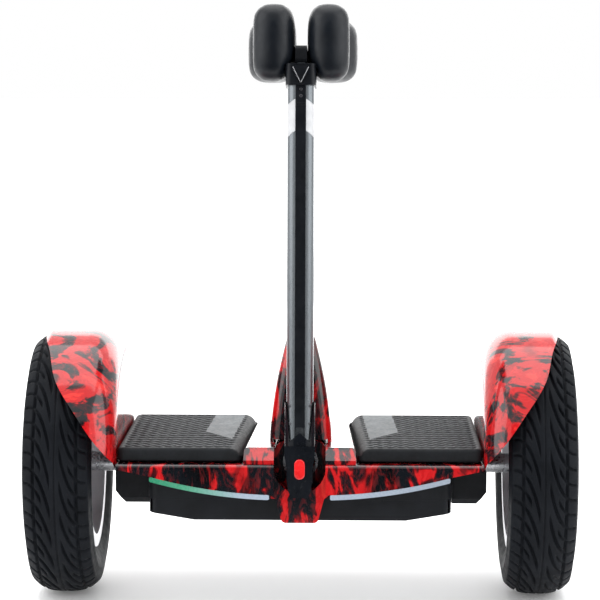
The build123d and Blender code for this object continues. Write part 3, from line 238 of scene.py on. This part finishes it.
def cast_alloy(name="cast_alloy", metal=0.9, tone=0.62):
    s = Shade(name, (tone, tone, tone), 0.38, metal=metal)
    dull, pale = tone - 0.1, tone + 0.08
    s.color(s.ramp(s.noise(30.0, 4.0), [(0.3, (dull, dull, dull + 0.02)), (0.7, (pale, pale, pale + 0.02))]))
    s.rough(s.remap(s.noise(120.0, 5.0), 0.3, 0.7, 0.3, 0.48))
    s.bump(s.noise(700.0, 4.0), 0.0002, 0.35)
    return s.mat


def steel(name="steel", color=(0.55, 0.56, 0.58), rough=0.28):
    s = Shade(name, color, rough, metal=1.0)
    s.rough(s.remap(s.noise(300.0, 4.0), 0.3, 0.7, rough - 0.08, rough + 0.12))
    s.bump(s.noise(900.0, 2.0), 0.00005, 0.4)
    return s.mat


def gloss_red(name="gloss_red", color=(0.5, 0.012, 0.012), coat=1.0):
    s = Shade(name, color, 0.25, coat=coat, coat_rough=0.04, specular=0.25)
    dark = tuple(c * 0.72 for c in color)
    s.color(s.ramp(s.noise(45.0, 3.0), [(0.3, dark), (0.7, color)]))
    s.rough(s.remap(s.noise(200.0, 4.0), 0.3, 0.7, 0.2, 0.32))
    return s.mat


def light_strip(name, stops, glow):
    """A frosted strip whose colour runs along the axle direction."""
    s = Shade(name, (0.6, 0.65, 0.68), 0.28, coat=0.6, coat_rough=0.1)
    split = s.node("ShaderNodeSeparateXYZ")
    s.link(s.place, split.inputs["Vector"])
    along = s.remap(split.outputs["X"], -0.15, 0.15, 0.0, 1.0)
    tint = s.ramp(along, stops)
    s.color(tint)
    s.link(tint, s.main.inputs["Emission Color"])
    s.set("Emission Strength", glow)
    s.rough(s.remap(s.noise(400.0, 3.0), 0.3, 0.7, 0.2, 0.36))
    return s.mat


def board_green():
    s = Shade("board_green", (0.02, 0.16, 0.07), 0.4, coat=0.3)
    traces = s.noise(260.0, 1.0, 0.4, 0.0, s.stretch((1.0, 0.25, 1.0)))
    s.color(s.ramp(traces, [(0.48, (0.01, 0.10, 0.045)), (0.52, (0.03, 0.2, 0.09))], "CONSTANT"))
    return s.mat


def copper():
    s = Shade("copper_wire", (0.62, 0.26, 0.1), 0.3, metal=1.0)
    wires = s.node("ShaderNodeTexWave", Scale=900.0)
    s.link(s.place, wires.inputs["Vector"])
    s.bump(wires.outputs["Fac"], 0.0004, 0.8)
    s.rough(s.remap(s.noise(300.0), 0.3, 0.7, 0.22, 0.4))
    return s.mat


def pale_floor():
    s = Shade("pale_floor", (0.93, 0.935, 0.94), 0.6)
    s.color(s.ramp(s.noise(2.0, 3.0), [(0.3, (0.93, 0.935, 0.94)), (0.7, (0.95, 0.953, 0.957))]))
    s.set("Emission Color", (1, 1, 1, 1))
    s.set("Emission Strength", 0.1)
    return s.mat


def flag_cloth():
    s = Shade("flag_cloth", (0.02, 0.02, 0.022), 0.9, specular=0.0)
    s.color(s.ramp(s.noise(3.0, 2.0), [(0.3, (0.015, 0.015, 0.017)), (0.7, (0.03, 0.03, 0.033))]))
    return s.mat


PAINT = flame_paint("flame_paint", 0.015, (0.15, 0.3, 0.2), (1.35, 0.9, 0.5))
FENDER_PAINT = flame_paint("fender_paint", 0.085, (0.5, 0.2, 0.0), (0.8, 1.2, 1.0))
HUMP_PAINT = flame_paint("hump_paint", 0.06, (0.0, 0.25, 0.6), (1.2, 0.7, 0.5))
TYRE = tyre_rubber()
MAT = mat_rubber("mat_rubber", (0.009, 0.0105, 0.0125))
MAT_PATCH = mat_rubber("mat_patch", (0.1, 0.112, 0.118))
# Lighter copy of the mat rubber for the rib crests: a painted highlight on the tops of the ribs.
MAT_RIB_HIGHLIGHT = mat_rubber("mat_rib_painted_highlight", (0.034, 0.038, 0.043))
PAD = pad_skin()
BLACK = black_plastic()
SATIN_BLACK = black_plastic("satin_black", 0.36, 1200.0)
GLOSS_BLACK = black_plastic("gloss_black", 0.2, 900.0, 0.000004)
BAR = bar_metal()
LABEL_PAINTED_SHADE = label_film_painted_shade()
ALLOY = cast_alloy()
STEEL = steel()
DARK_STEEL = steel("dark_steel", (0.1, 0.1, 0.11), 0.34)
CAP_RED = gloss_red("cap_red", (0.3, 0.006, 0.008), 0.25)
BUTTON_RED = gloss_red("button_red", (0.8, 0.01, 0.012))
PALE = (0.3, 0.36, 0.44)
GREEN_LAMP = light_strip("green_lamp", [(0.0, (0.015, 0.2, 0.1)), (0.13, (0.06, 0.28, 0.17)),
                                        (0.23, (0.17, 0.33, 0.3)), (0.31, PALE)], 0.12)
PALE_LAMP = light_strip("pale_lamp", [(0.6, PALE), (1.0, (0.26, 0.3, 0.36))], 0.06)
RED_LAMP = light_strip("red_lamp", [(0.0, (0.42, 0.006, 0.006)), (1.0, (0.42, 0.006, 0.006))], 0.2)
# A lighter, less metallic copy of the cast alloy for the motor side covers: painted light, so they show bright
# instead of mirroring the dark surroundings.
COVER_ALLOY_LIT = cast_alloy("cover_alloy_painted_light", 0.35, 0.8)
BOARD = board_green()
COPPER = copper()
LAMINATION = steel("lamination", (0.32, 0.33, 0.35), 0.45)

FINISH = {
    "cast_alloy": ALLOY, "dark_alloy": BAR, "flame_paint": PAINT, "cap_red": CAP_RED,
    "button_red": BUTTON_RED, "black_plastic": BLACK, "clamp_black": BLACK, "mat_rubber": MAT,
    "pad_rubber": PAD, "steel": STEEL, "black_steel": DARK_STEEL, "laminations": LAMINATION,
    "magnets": STEEL, "copper_wire": COPPER, "cell_wrap": gloss_red("cell_wrap", (0.02, 0.16, 0.32)),
    "board_green": BOARD, "lens_green": GREEN_LAMP, "lens_pale": PALE_LAMP, "lens_red": RED_LAMP,
    "tyre_rubber": TYRE,
}

# Nodes that differ a little from the rest of their slot.
OWN_FINISH = {
    "fender_left": FENDER_PAINT, "fender_right": FENDER_PAINT, "hump_cover": HUMP_PAINT,
    "stem_socket": GLOSS_BLACK, "stem_cover": GLOSS_BLACK, "stem_strip": SATIN_BLACK,
    "steering_housing": PAINT, "motor_side_cover_left": COVER_ALLOY_LIT,
    "motor_side_cover_right": COVER_ALLOY_LIT,
    "battery_case": SATIN_BLACK, "stem_collar": SATIN_BLACK, "height_latch": SATIN_BLACK,
}


def dress_cad():
    """Gives every CAD node the material of its slot."""
    for entry in frame["record"]["subparts"]:
        node = nodes[entry["node"]]
        node.data.materials.clear()
        node.data.materials.append(OWN_FINISH.get(entry["node"], FINISH[entry["material_slot"]]))


# ---- Mesh helpers -----------------------------------------------------------------------------
def piece(name, points, faces, material, body, replaced=(), smooth=True):
    """A new visible piece from points and faces in metres, riding on a body."""
    mesh = bpy.data.meshes.new(name)
    mesh.from_pydata([tuple(p) for p in points], [], [tuple(f) for f in faces])
    mesh.validate()
    mesh.update()
    if smooth:
        mesh.shade_smooth()
    mesh.materials.append(material)
    made = bpy.data.objects.new(name, mesh)
    bpy.context.scene.collection.objects.link(made)
    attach(made, body)
    if replaced:
        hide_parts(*replaced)
    return made


def grid_faces(rows, columns, wrap_rows=False, wrap_columns=False):
    """Quads of a grid whose point (i, j) is at i * columns + j."""
    faces = []
    for i in range(rows if wrap_rows else rows - 1):
        for j in range(columns if wrap_columns else columns - 1):
            a, b = i * columns + j, i * columns + (j + 1) % columns
            c, d = ((i + 1) % rows) * columns + (j + 1) % columns, ((i + 1) % rows) * columns + j
            faces.append((a, b, c, d))
    return faces


def soft_step(low, high, x):
    t = np.clip((x - low) / (high - low), 0, 1)
    return t * t * (3 - 2 * t)


def remeshed(name, node, voxel, material, smooth_steps=0, smooth_factor=0.5):
    """A finely and evenly meshed copy of a CAD node, as an unlinked mesh."""
    source = nodes[node]
    copy = bpy.data.objects.new(name, source.data.copy())
    bpy.context.scene.collection.objects.link(copy)
    weld = copy.modifiers.new("weld", "WELD")
    weld.merge_threshold = 0.00001
    mesher = copy.modifiers.new("remesh", "REMESH")
    mesher.mode = "VOXEL"
    mesher.voxel_size = voxel
    if smooth_steps:
        smoother = copy.modifiers.new("smooth", "SMOOTH")
        smoother.iterations = smooth_steps
        smoother.factor = smooth_factor
    evaluated = copy.evaluated_get(bpy.context.evaluated_depsgraph_get())
    mesh = bpy.data.meshes.new_from_object(evaluated)
    mesh.name = name
    bpy.data.objects.remove(copy)
    mesh.materials.clear()
    mesh.materials.append(material)
    mesh.shade_smooth()
    return mesh


def coordinates(mesh):
    co = np.empty(len(mesh.vertices) * 3, np.float32)
    mesh.vertices.foreach_get("co", co)
    return co.reshape(-1, 3).astype(float)


def put_coordinates(mesh, co):
    mesh.vertices.foreach_set("co", co.astype(np.float32).ravel())
    mesh.update()


def place_mesh(mesh, body, replaced=()):
    made = bpy.data.objects.new(mesh.name, mesh)
    bpy.context.scene.collection.objects.link(made)
    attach(made, body)
    if replaced:
        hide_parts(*replaced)
    return made


# ---- Tyres ------------------------------------------------------------------------------------
TREAD_PITCHES = 26
TREAD_STEPS = 30           # mesh steps in each pitch round the tyre
TREAD_COLUMNS = 84
GROOVE_DEPTH = 3.2 * MM
GROOVE_HALF = 1.35 * MM
RING_GROOVE = 21.0 * MM    # of the two grooves round the tyre, from its middle
HOOK_RUN = 46.0 * MM       # how far a hooked groove runs round the tyre
HOOK_OUTER = 31.8 * MM
HOOK_INNER = 5.0 * MM
HOOK_BEND = 2.7            # a higher power keeps the groove lateral for longer at the shoulder
SHOULDER_SHARE = 0.93      # of the tyre's half width, where the tread ends
HAIR_COUNT = 150


def tread_depth(u, s, pitch):
    """How deep the tread is cut at a place across and around the tyre, from 0 to 1."""
    side = np.sign(u)
    w = np.abs(u)

    def hooks(inner, shift, half):
        reach = HOOK_OUTER - HOOK_INNER
        t = np.clip((HOOK_OUTER - w) / reach, 0, 1)
        path = -side * HOOK_RUN * t ** HOOK_BEND
        slope = HOOK_RUN * HOOK_BEND * t ** (HOOK_BEND - 1) / reach
        away = (s - path - shift * pitch + pitch / 2) % pitch - pitch / 2
        distance = np.abs(away) / np.sqrt(1 + slope ** 2)
        cut = 1 - soft_step(half * 0.55, half * 1.35, distance)
        ends = soft_step(inner - 1.2 * MM, inner + 1.2 * MM, w)
        return cut * ends * (1 - soft_step(HOOK_OUTER - 0.5 * MM, HOOK_OUTER + 0.5 * MM, w))

    long_hooks = hooks(HOOK_INNER, 0.0, GROOVE_HALF)
    short_hooks = hooks(13.5 * MM, 0.5, GROOVE_HALF * 0.85)
    ring = 1 - soft_step(GROOVE_HALF * 0.6, GROOVE_HALF * 1.4, np.abs(w - RING_GROOVE))
    middle_line = 0.35 * (1 - soft_step(0.3 * MM, 1.1 * MM, w))
    return np.maximum.reduce([long_hooks, short_hooks, ring, middle_line])


def tyre_profile():
    """The tyre's closed section as (across, radius), the tread's columns first."""
    half, radius = TYRE_WIDTH / 2, TYRE_RADIUS
    points = []
    shoulder = half * SHOULDER_SHARE
    drop = 11.0 * MM
    for k in range(TREAD_COLUMNS):
        u = -shoulder + 2 * shoulder * k / (TREAD_COLUMNS - 1)
        points.append((u, radius - drop * (abs(u) / shoulder) ** 3.2))
    side = []
    for k in range(1, 15):
        a = k / 14
        bulge = half * SHOULDER_SHARE + half * 0.07 * sin(pi * min(a * 1.5, 1.0) / 2)
        tuck = max(0.0, a - 0.45) / 0.55
        u = bulge - 8.0 * MM * tuck ** 1.6
        rib = 0.45 * MM * (1 if k in (5, 6, 9) else 0)
        side.append((u + rib * (1 - tuck), radius - drop - (radius - drop - 90.5 * MM) * a))
    inner = [(half - 9 * MM, 88.0 * MM), (half - 8.5 * MM, 104.0 * MM), (half * 0.55, radius - 13 * MM),
             (0, radius - 8 * MM)]
    points += side + inner
    points += [(-u, r) for u, r in reversed(inner[:-1])]
    points += [(-u, r) for u, r in reversed(side)]
    return points


def tyre(side_name, side):
    profile = tyre_profile()
    across = np.array([p[0] for p in profile])
    radii = np.array([p[1] for p in profile])
    columns = len(profile)
    rows = TREAD_PITCHES * TREAD_STEPS
    angle = np.arange(rows) * 2 * pi / rows
    pitch = 2 * pi * TYRE_RADIUS / TREAD_PITCHES
    u = np.broadcast_to(across, (rows, columns))
    s = np.broadcast_to((angle * TYRE_RADIUS)[:, None], (rows, columns))
    depth = tread_depth(u, s, pitch) * GROOVE_DEPTH
    depth[:, TREAD_COLUMNS:] = 0
    edge = soft_step(0, 4 * MM, TYRE_WIDTH / 2 * SHOULDER_SHARE - np.abs(across))
    r = radii[None, :] - depth * edge[None, :]
    x = u + side * WHEEL_X
    y = -r * np.sin(angle)[:, None]
    z = AXLE_Z + r * np.cos(angle)[:, None]
    points = np.stack([x, y, z], -1).reshape(-1, 3)
    return piece(f"tyre_{side_name}_tread", points.tolist(), grid_faces(rows, columns, True, True), TYRE,
                 f"wheel_{side_name}", (f"tyre_{side_name}",))


def tyre_hairs(side_name, side):
    """The thin rubber hairs that moulding leaves on a new tyre."""
    draw = np.random.default_rng(11 + side)
    points, faces, count = [], [], 5
    for k in range(HAIR_COUNT):
        a = 2 * pi * (k + draw.uniform(-0.3, 0.3)) / HAIR_COUNT
        across = (-29.0, -12.0, 0.0, 12.0, 29.0)[k % 5] * MM + draw.uniform(-1, 1) * MM
        if k % 5 in (0, 4):
            root = TYRE_RADIUS - 9.0 * MM
        else:
            root = TYRE_RADIUS - 0.8 * MM
        length = draw.uniform(1.6, 3.2) * MM
        if cos(a) < -0.93:
            length *= 0.2
        out = Vector((0.25 * across / (29 * MM), -sin(a), cos(a))).normalized()
        bend = Vector((draw.uniform(-1, 1), draw.uniform(-1, 1), draw.uniform(-1, 1))) * 0.35
        base = Vector((side * WHEEL_X + across, -root * sin(a), AXLE_Z + root * cos(a)))
        one = out.orthogonal().normalized()
        two = out.cross(one)
        start = len(points)
        for share, radius in ((-0.3, 0.28), (0.5, 0.2), (1.0, 0.1)):
            centre = base + length * share * (out + bend * max(share, 0))
            for j in range(count):
                turn = 2 * pi * j / count
                points.append(centre + radius * MM * (cos(turn) * one + sin(turn) * two))
        faces += [tuple(start + v for v in face) for face in grid_faces(3, count, False, True)]
        faces.append(tuple(start + 2 * count + j for j in range(count)))
    return piece(f"tyre_hairs_{side_name}", points, faces, TYRE, f"wheel_{side_name}")


# ---- Foot mats --------------------------------------------------------------------------------
RIB_PITCH = 13.0 * MM
RIB_WAVE = 10.0 * MM
RIB_SWING = 2.6 * MM
RIB_HEIGHT = 1.3 * MM
MAT_ROLL = 14.0 * MM       # radius of the rolled edge beside the stem
MAT_VOXEL = 1.25 * MM
PATCH_LENGTH = 118.0 * MM  # of the plain patch, fore and aft
PATCH_WIDTH = 31.0 * MM
PATCH_SLANT = 1.4          # how much its front edge runs forward towards the stem


def zigzag(x, wave):
    """A rounded triangle wave between -1 and 1."""
    t = (x / wave) % 1.0
    return np.clip((4 * np.abs(t - 0.5) - 1) * 1.15, -1, 1)


def foot_mat(side_name, side):
    node = f"foot_mat_{side_name}"
    low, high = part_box(node)
    mesh = remeshed(f"{node}_ribbed", node, MAT_VOXEL, MAT, 2, 0.4)
    co = coordinates(mesh)
    x, y, z = co[:, 0], co[:, 1], co[:, 2]
    across = np.abs(x)
    top = high.z
    on_top = soft_step(top - 1.2 * MM, top - 0.5 * MM, z)
    inner = min(abs(low.x), abs(high.x))
    outer = max(abs(low.x), abs(high.x))
    taper = inner + 9.0 * MM * (high.y - y) / (high.y - low.y)
    margin = np.minimum.reduce([across - taper, outer - across, y - low.y, high.y - y])
    ribs = 0.5 + 0.5 * np.cos(2 * pi * (y + RIB_SWING * zigzag(x, RIB_WAVE)) / RIB_PITCH)
    ribs = soft_step(0.25, 0.75, ribs)
    patch_front = high.y - PATCH_LENGTH
    patch_edge = taper + MAT_ROLL + PATCH_WIDTH
    patch = soft_step(0, 1.5 * MM, y - patch_front + PATCH_SLANT * (patch_edge - across))
    patch = patch * (1 - soft_step(0, 1.5 * MM, across - patch_edge))
    patch = patch * soft_step(-1.5 * MM, 0, across - taper - MAT_ROLL)
    amount = on_top * soft_step(4.5 * MM, 7.0 * MM, margin) * (1 - patch)
    amount = amount * soft_step(MAT_ROLL * 0.6, MAT_ROLL * 0.9, across - taper)
    short = np.clip(MAT_ROLL - (across - taper), 0, MAT_ROLL * 0.98)
    rolled = soft_step(low.z + 5 * MM, top, z) * (MAT_ROLL - np.sqrt(MAT_ROLL ** 2 - short ** 2))
    co[:, 2] = z - amount * (1 - ribs) * RIB_HEIGHT - np.minimum(rolled, 0.8 * (z - low.z))
    put_coordinates(mesh, co)
    mesh.materials.append(MAT_PATCH)
    mesh.materials.append(MAT_RIB_HIGHLIGHT)
    inside = patch * on_top * soft_step(3.0 * MM, 4.0 * MM, margin) > 0.5
    # Faces on the rib crests take the lighter rubber, a painted highlight on the rib tops.
    ridge_highlight = amount * ribs > 0.6
    for polygon in mesh.polygons:
        if all(inside[v] for v in polygon.vertices):
            polygon.material_index = 1
        elif all(ridge_highlight[v] for v in polygon.vertices):
            polygon.material_index = 2
    return place_mesh(mesh, f"foot_pad_{side_name}", (node,))


# ---- Knee pads --------------------------------------------------------------------------------
PAD_CROWN = 2.5 * MM       # that the soft top stands over its CAD solid
PAD_VOXEL = 2.6 * MM
PAD_SMOOTHING = 75


def knee_pad(side_name, side):
    node = f"knee_pad_{side_name}"
    low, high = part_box(node)
    mesh = remeshed(f"{node}_foam", node, PAD_VOXEL, PAD, PAD_SMOOTHING, 0.6)
    co = coordinates(mesh)
    now_low, now_high = co.min(0), co.max(0)
    # Smoothing draws the pad in a little, so it is brought back to the size of its CAD solid.
    goal_low, goal_high = np.array(low), np.array(high) + np.array((0, 0, PAD_CROWN))
    scale = (goal_high - goal_low) / (now_high - now_low)
    co = (co - (now_low + now_high) / 2) * scale + (goal_low + goal_high) / 2
    put_coordinates(mesh, co)
    made = place_mesh(mesh, "upper_bar", (node,))
    return made


# ---- Small parts of the steering bar ----------------------------------------------------------
BAR_BASE = Vector((0, -0.098, 0.150))    # where the bar's middle line starts
BAR_HALF = BAR_WIDTH / 2
BAR_HALF_DEPTH = 20.0 * MM
BAR_CORNER = 9.5 * MM
STRIP_HALF = 5.2 * MM


def bar_point(x, y, s):
    """A place beside the bar: across, behind its middle line, and along it."""
    return Vector((x, BAR_BASE.y + y * cos(LEAN) + s * sin(LEAN),
                   BAR_BASE.z - y * sin(LEAN) + s * cos(LEAN)))


def bar_skin(side, along):
    """A point on the bar's surface, from the strip's edge round the front corner and back."""
    flat = BAR_HALF - BAR_CORNER
    start = degrees(atan2(STRIP_HALF - flat, BAR_CORNER)) + 1
    turn = radians(90 - start)
    arc = BAR_CORNER * turn
    offset = 0.12 * MM
    if along < arc:
        a = radians(start) + along / BAR_CORNER
        return (side * (flat + (BAR_CORNER + offset) * sin(a)),
                -BAR_HALF_DEPTH + BAR_CORNER - (BAR_CORNER + offset) * cos(a))
    return side * (BAR_HALF + offset), -BAR_HALF_DEPTH + BAR_CORNER + along - arc


def label(side_name, side):
    """A blank white band round one front corner of the bar, with slanted ends."""
    length = 27.0 * MM
    columns, rows = 26, 20
    points = []
    for j in range(columns):
        t = j / (columns - 1)
        x, y = bar_skin(side, length * t)
        slant = min(1.0, t * 3.2)
        low = (327.0 - 5.7 * slant) * MM
        high = (358.5 - 5.0 * slant) * MM
        for i in range(rows):
            points.append(bar_point(x, y, low + (high - low) * i / (rows - 1)))
    made = piece(f"bar_label_{side_name}", points, grid_faces(columns, rows), LABEL_PAINTED_SHADE, "steering")
    thick = made.modifiers.new("thick", "SOLIDIFY")
    thick.thickness = 0.1 * MM
    thick.offset = 0
    return made


def screw(name, place, normal, radius, body, material):
    """A domed screw head with a six-sided socket."""
    normal = Vector(normal).normalized()
    across = normal.orthogonal().normalized()
    up = normal.cross(across)
    count = 24
    rings = [(0.0, -0.25), (0.42, -0.25), (0.46, 0.42), (0.7, 0.36), (0.9, 0.22), (1.0, 0.0), (1.0, -0.5)]
    points = []
    for share, rise in rings:
        for j in range(count):
            a = 2 * pi * j / count
            reach = share
            if share in (0.42, 0.46):
                reach = share * cos(pi / 6) / cos((a % (pi / 3)) - pi / 6)
            points.append(Vector(place) + radius * (reach * (cos(a) * across + sin(a) * up) + rise * normal))
    made = piece(name, points, grid_faces(len(rings), count, False, True), material, body, (), False)
    clean_up(made)
    return made


def bar_fittings():
    for side_name, side in SIDES:
        label(side_name, side)
        for k, height in enumerate((57.0, 39.5, 23.0)):
            x, y = bar_skin(side, 5.2 * MM)
            screw(f"bar_screw_{side_name}_{k}", bar_point(x, y, height * MM), (side * 0.62, -0.78, 0.09),
                  1.7 * MM, "steering", DARK_STEEL)
    for k, height in enumerate((368.0, 361.5)):
        front = bar_point(0.2 * MM, -BAR_HALF_DEPTH + 0.2 * MM, height * MM)
        screw(f"latch_pin_{k}", front, (0, -1, 0.11), 1.6 * MM, "steering", DARK_STEEL)
    rounded_bar("height_scale_stop", 4.8 * MM, (352.0 * MM, 355.0 * MM), -BAR_HALF_DEPTH - 0.4 * MM)


def rounded_bar(name, half, span, front):
    """A small bar across the strip, with rounded ends."""
    points, ring = [], 18
    middle_s, half_s = (span[0] + span[1]) / 2, (span[1] - span[0]) / 2
    for depth, shrink in ((1.2 * MM, 1.0), (0.25 * MM, 1.0), (0.0, 0.8)):
        for j in range(ring):
            a = 2 * pi * j / ring
            x = (half - half_s) * (1 if cos(a) > 0 else -1) + half_s * cos(a) * shrink
            points.append(bar_point(x, front + depth, middle_s + half_s * sin(a) * shrink))
    faces = grid_faces(3, ring, False, True)
    faces.append(tuple(range(2 * ring, 3 * ring)))
    faces.append(tuple(reversed(range(ring))))
    made = piece(name, points, faces, SATIN_BLACK, "steering", (), False)
    clean_up(made)
    return made


def latch_trim():
    """The two bright edges of the latch plate, which meet in a V."""
    low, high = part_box("height_latch")
    for side_name, side in SIDES:
        top = Vector((side * (high.x - 0.7 * MM), low.y, high.z - 1.5 * MM))
        tip = Vector((side * 0.35 * MM, low.y, low.z + 0.9 * MM))
        run = (tip - top).normalized()
        out = Vector((0, -1, 0.113)).normalized()
        wide = run.cross(out).normalized()
        points, count, steps = [], 10, 12
        for i in range(steps):
            place = top.lerp(tip, i / (steps - 1))
            for j in range(count):
                a = 2 * pi * j / count
                points.append(place + 0.35 * MM * (cos(a) * out + sin(a) * wide))
        faces = grid_faces(steps, count, False, True)
        faces += [tuple(range(count)), tuple(range(count * steps - 1, count * (steps - 1) - 1, -1))]
        made = piece(f"latch_edge_{side_name}", points, faces, STEEL, "height_latch")
        clean_up(made)


# ---- Hub caps ---------------------------------------------------------------------------------
def hub_cap(side_name, side):
    node = f"hub_cap_{side_name}"
    low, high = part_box(node)
    inner_x, outer_x = sorted((low.x, high.x), key=abs)
    dome = abs(outer_x - inner_x)
    radius = (high.z - low.z) / 2
    rows, columns = 84, 300
    points, sunk = [], []
    for i in range(rows):
        rr = radius * i / (rows - 1)
        for j in range(columns):
            a = 2 * pi * j / columns
            rise = dome - 0.6 * MM - (dome - 3.0 * MM) * (rr / radius) ** 2
            spoke = abs(((a / (2 * pi) * 5) % 1.0) - 0.5) * 2
            window = soft_step(0.30, 0.36, 1 - spoke * (1.0 - 0.2 * rr / radius))
            band = soft_step(radius * 0.30, radius * 0.33, rr)
            band *= 1 - soft_step(radius * 0.80, radius * 0.83, rr)
            ring = 1 - soft_step(0.4 * MM, 1.2 * MM, abs(rr - radius * 0.9))
            rise -= 2.0 * MM * window * band + 0.7 * MM * ring
            points.append((inner_x + side * rise, rr * cos(a), AXLE_Z + rr * sin(a)))
            sunk.append(window * band > 0.7)
    faces = grid_faces(rows, columns, False, True)
    back = len(points)
    for j in range(columns):
        a = 2 * pi * j / columns
        points.append((inner_x, radius * cos(a), AXLE_Z + radius * sin(a)))
    last = (rows - 1) * columns
    for j in range(columns):
        faces.append((last + j, last + (j + 1) % columns, back + (j + 1) % columns, back + j))
    faces.append(tuple(range(back + columns - 1, back - 1, -1)))
    made = piece(f"{node}_cover", points, faces, CAP_RED, f"wheel_{side_name}", (node,))
    made.data.materials.append(GLOSS_BLACK)
    for polygon in made.data.polygons:
        if all(v < len(sunk) and sunk[v] for v in polygon.vertices):
            polygon.material_index = 1
    clean_up(made)
    return made


def clean_up(obj):
    """Merges doubled points and turns the faces outward."""
    work = bmesh.new()
    work.from_mesh(obj.data)
    bmesh.ops.remove_doubles(work, verts=work.verts, dist=0.000005)
    bmesh.ops.recalc_face_normals(work, faces=work.faces)
    work.to_mesh(obj.data)
    work.free()


# ---- Room, light and camera -------------------------------------------------------------------
def dark_plane(name, place, turn, scale, cloth):
    """A dark plane that only shows as a reflection in glossy faces."""
    bpy.ops.mesh.primitive_plane_add(size=1, location=place, rotation=turn)
    made = bpy.context.object
    made.name = name
    made.scale = scale
    made.visible_camera = False
    made.visible_diffuse = False
    made.visible_shadow = False
    made.data.materials.append(cloth)


def room():
    bpy.ops.mesh.primitive_plane_add(size=30, location=(0, 6, 0))
    floor = bpy.context.object
    floor.name = "floor"
    floor.data.materials.append(pale_floor())
    cloth = flag_cloth()
    dark_plane("black_flag", (0, -3.6, 1.55), (pi / 2, 0, 0), (3.2, 3.8, 1), cloth)
    dark_plane("black_apron", (0, -2.05, 0.004), (0, 0, 0), (3.2, 3.1, 1), cloth)
    world = bpy.data.worlds.new("pale_world")
    world.use_nodes = True
    world.node_tree.nodes["Background"].inputs["Color"].default_value = (1, 1, 1, 1)
    world.node_tree.nodes["Background"].inputs["Strength"].default_value = 1.0
    bpy.context.scene.world = world


def area_light(name, place, aim, size, power):
    data = bpy.data.lights.new(name, "AREA")
    data.shape = "RECTANGLE"
    data.size, data.size_y = size
    data.energy = power
    lamp = bpy.data.objects.new(name, data)
    lamp.location = place
    lamp.rotation_euler = (Vector(aim) - Vector(place)).to_track_quat("-Z", "Y").to_euler()
    bpy.context.scene.collection.objects.link(lamp)


def camera():
    data = bpy.data.cameras.new("camera")
    data.sensor_width = 36
    data.lens = 141.6
    data.clip_start, data.clip_end = 0.05, 100
    made = bpy.data.objects.new("camera", data)
    made.location = (0.048, -2.4, 0.564)
    made.rotation_euler = (pi / 2 - 0.109, -0.001, 0.021)
    bpy.context.scene.collection.objects.link(made)
    bpy.context.scene.camera = made


camera()
room()
area_light("left_softbox", (-2.2, -0.6, 1.5), (0, 0, 0.25), (2.4, 2.4), 34)
area_light("right_softbox", (2.2, -0.6, 1.5), (0, 0, 0.25), (2.4, 2.4), 34)
area_light("top_softbox", (0, 0.3, 2.4), (0, 0, 0.2), (2.4, 2.0), 30)
area_light("back_softbox", (0, 2.4, 1.05), (0, 0, 0.25), (3.4, 2.0), 50)
bpy.context.scene.view_settings.view_transform = "Standard"

dress_cad()
for side_name, side in SIDES:
    tyre(side_name, side)
    tyre_hairs(side_name, side)
    foot_mat(side_name, side)
    knee_pad(side_name, side)
    hub_cap(side_name, side)
bar_fittings()
latch_trim()
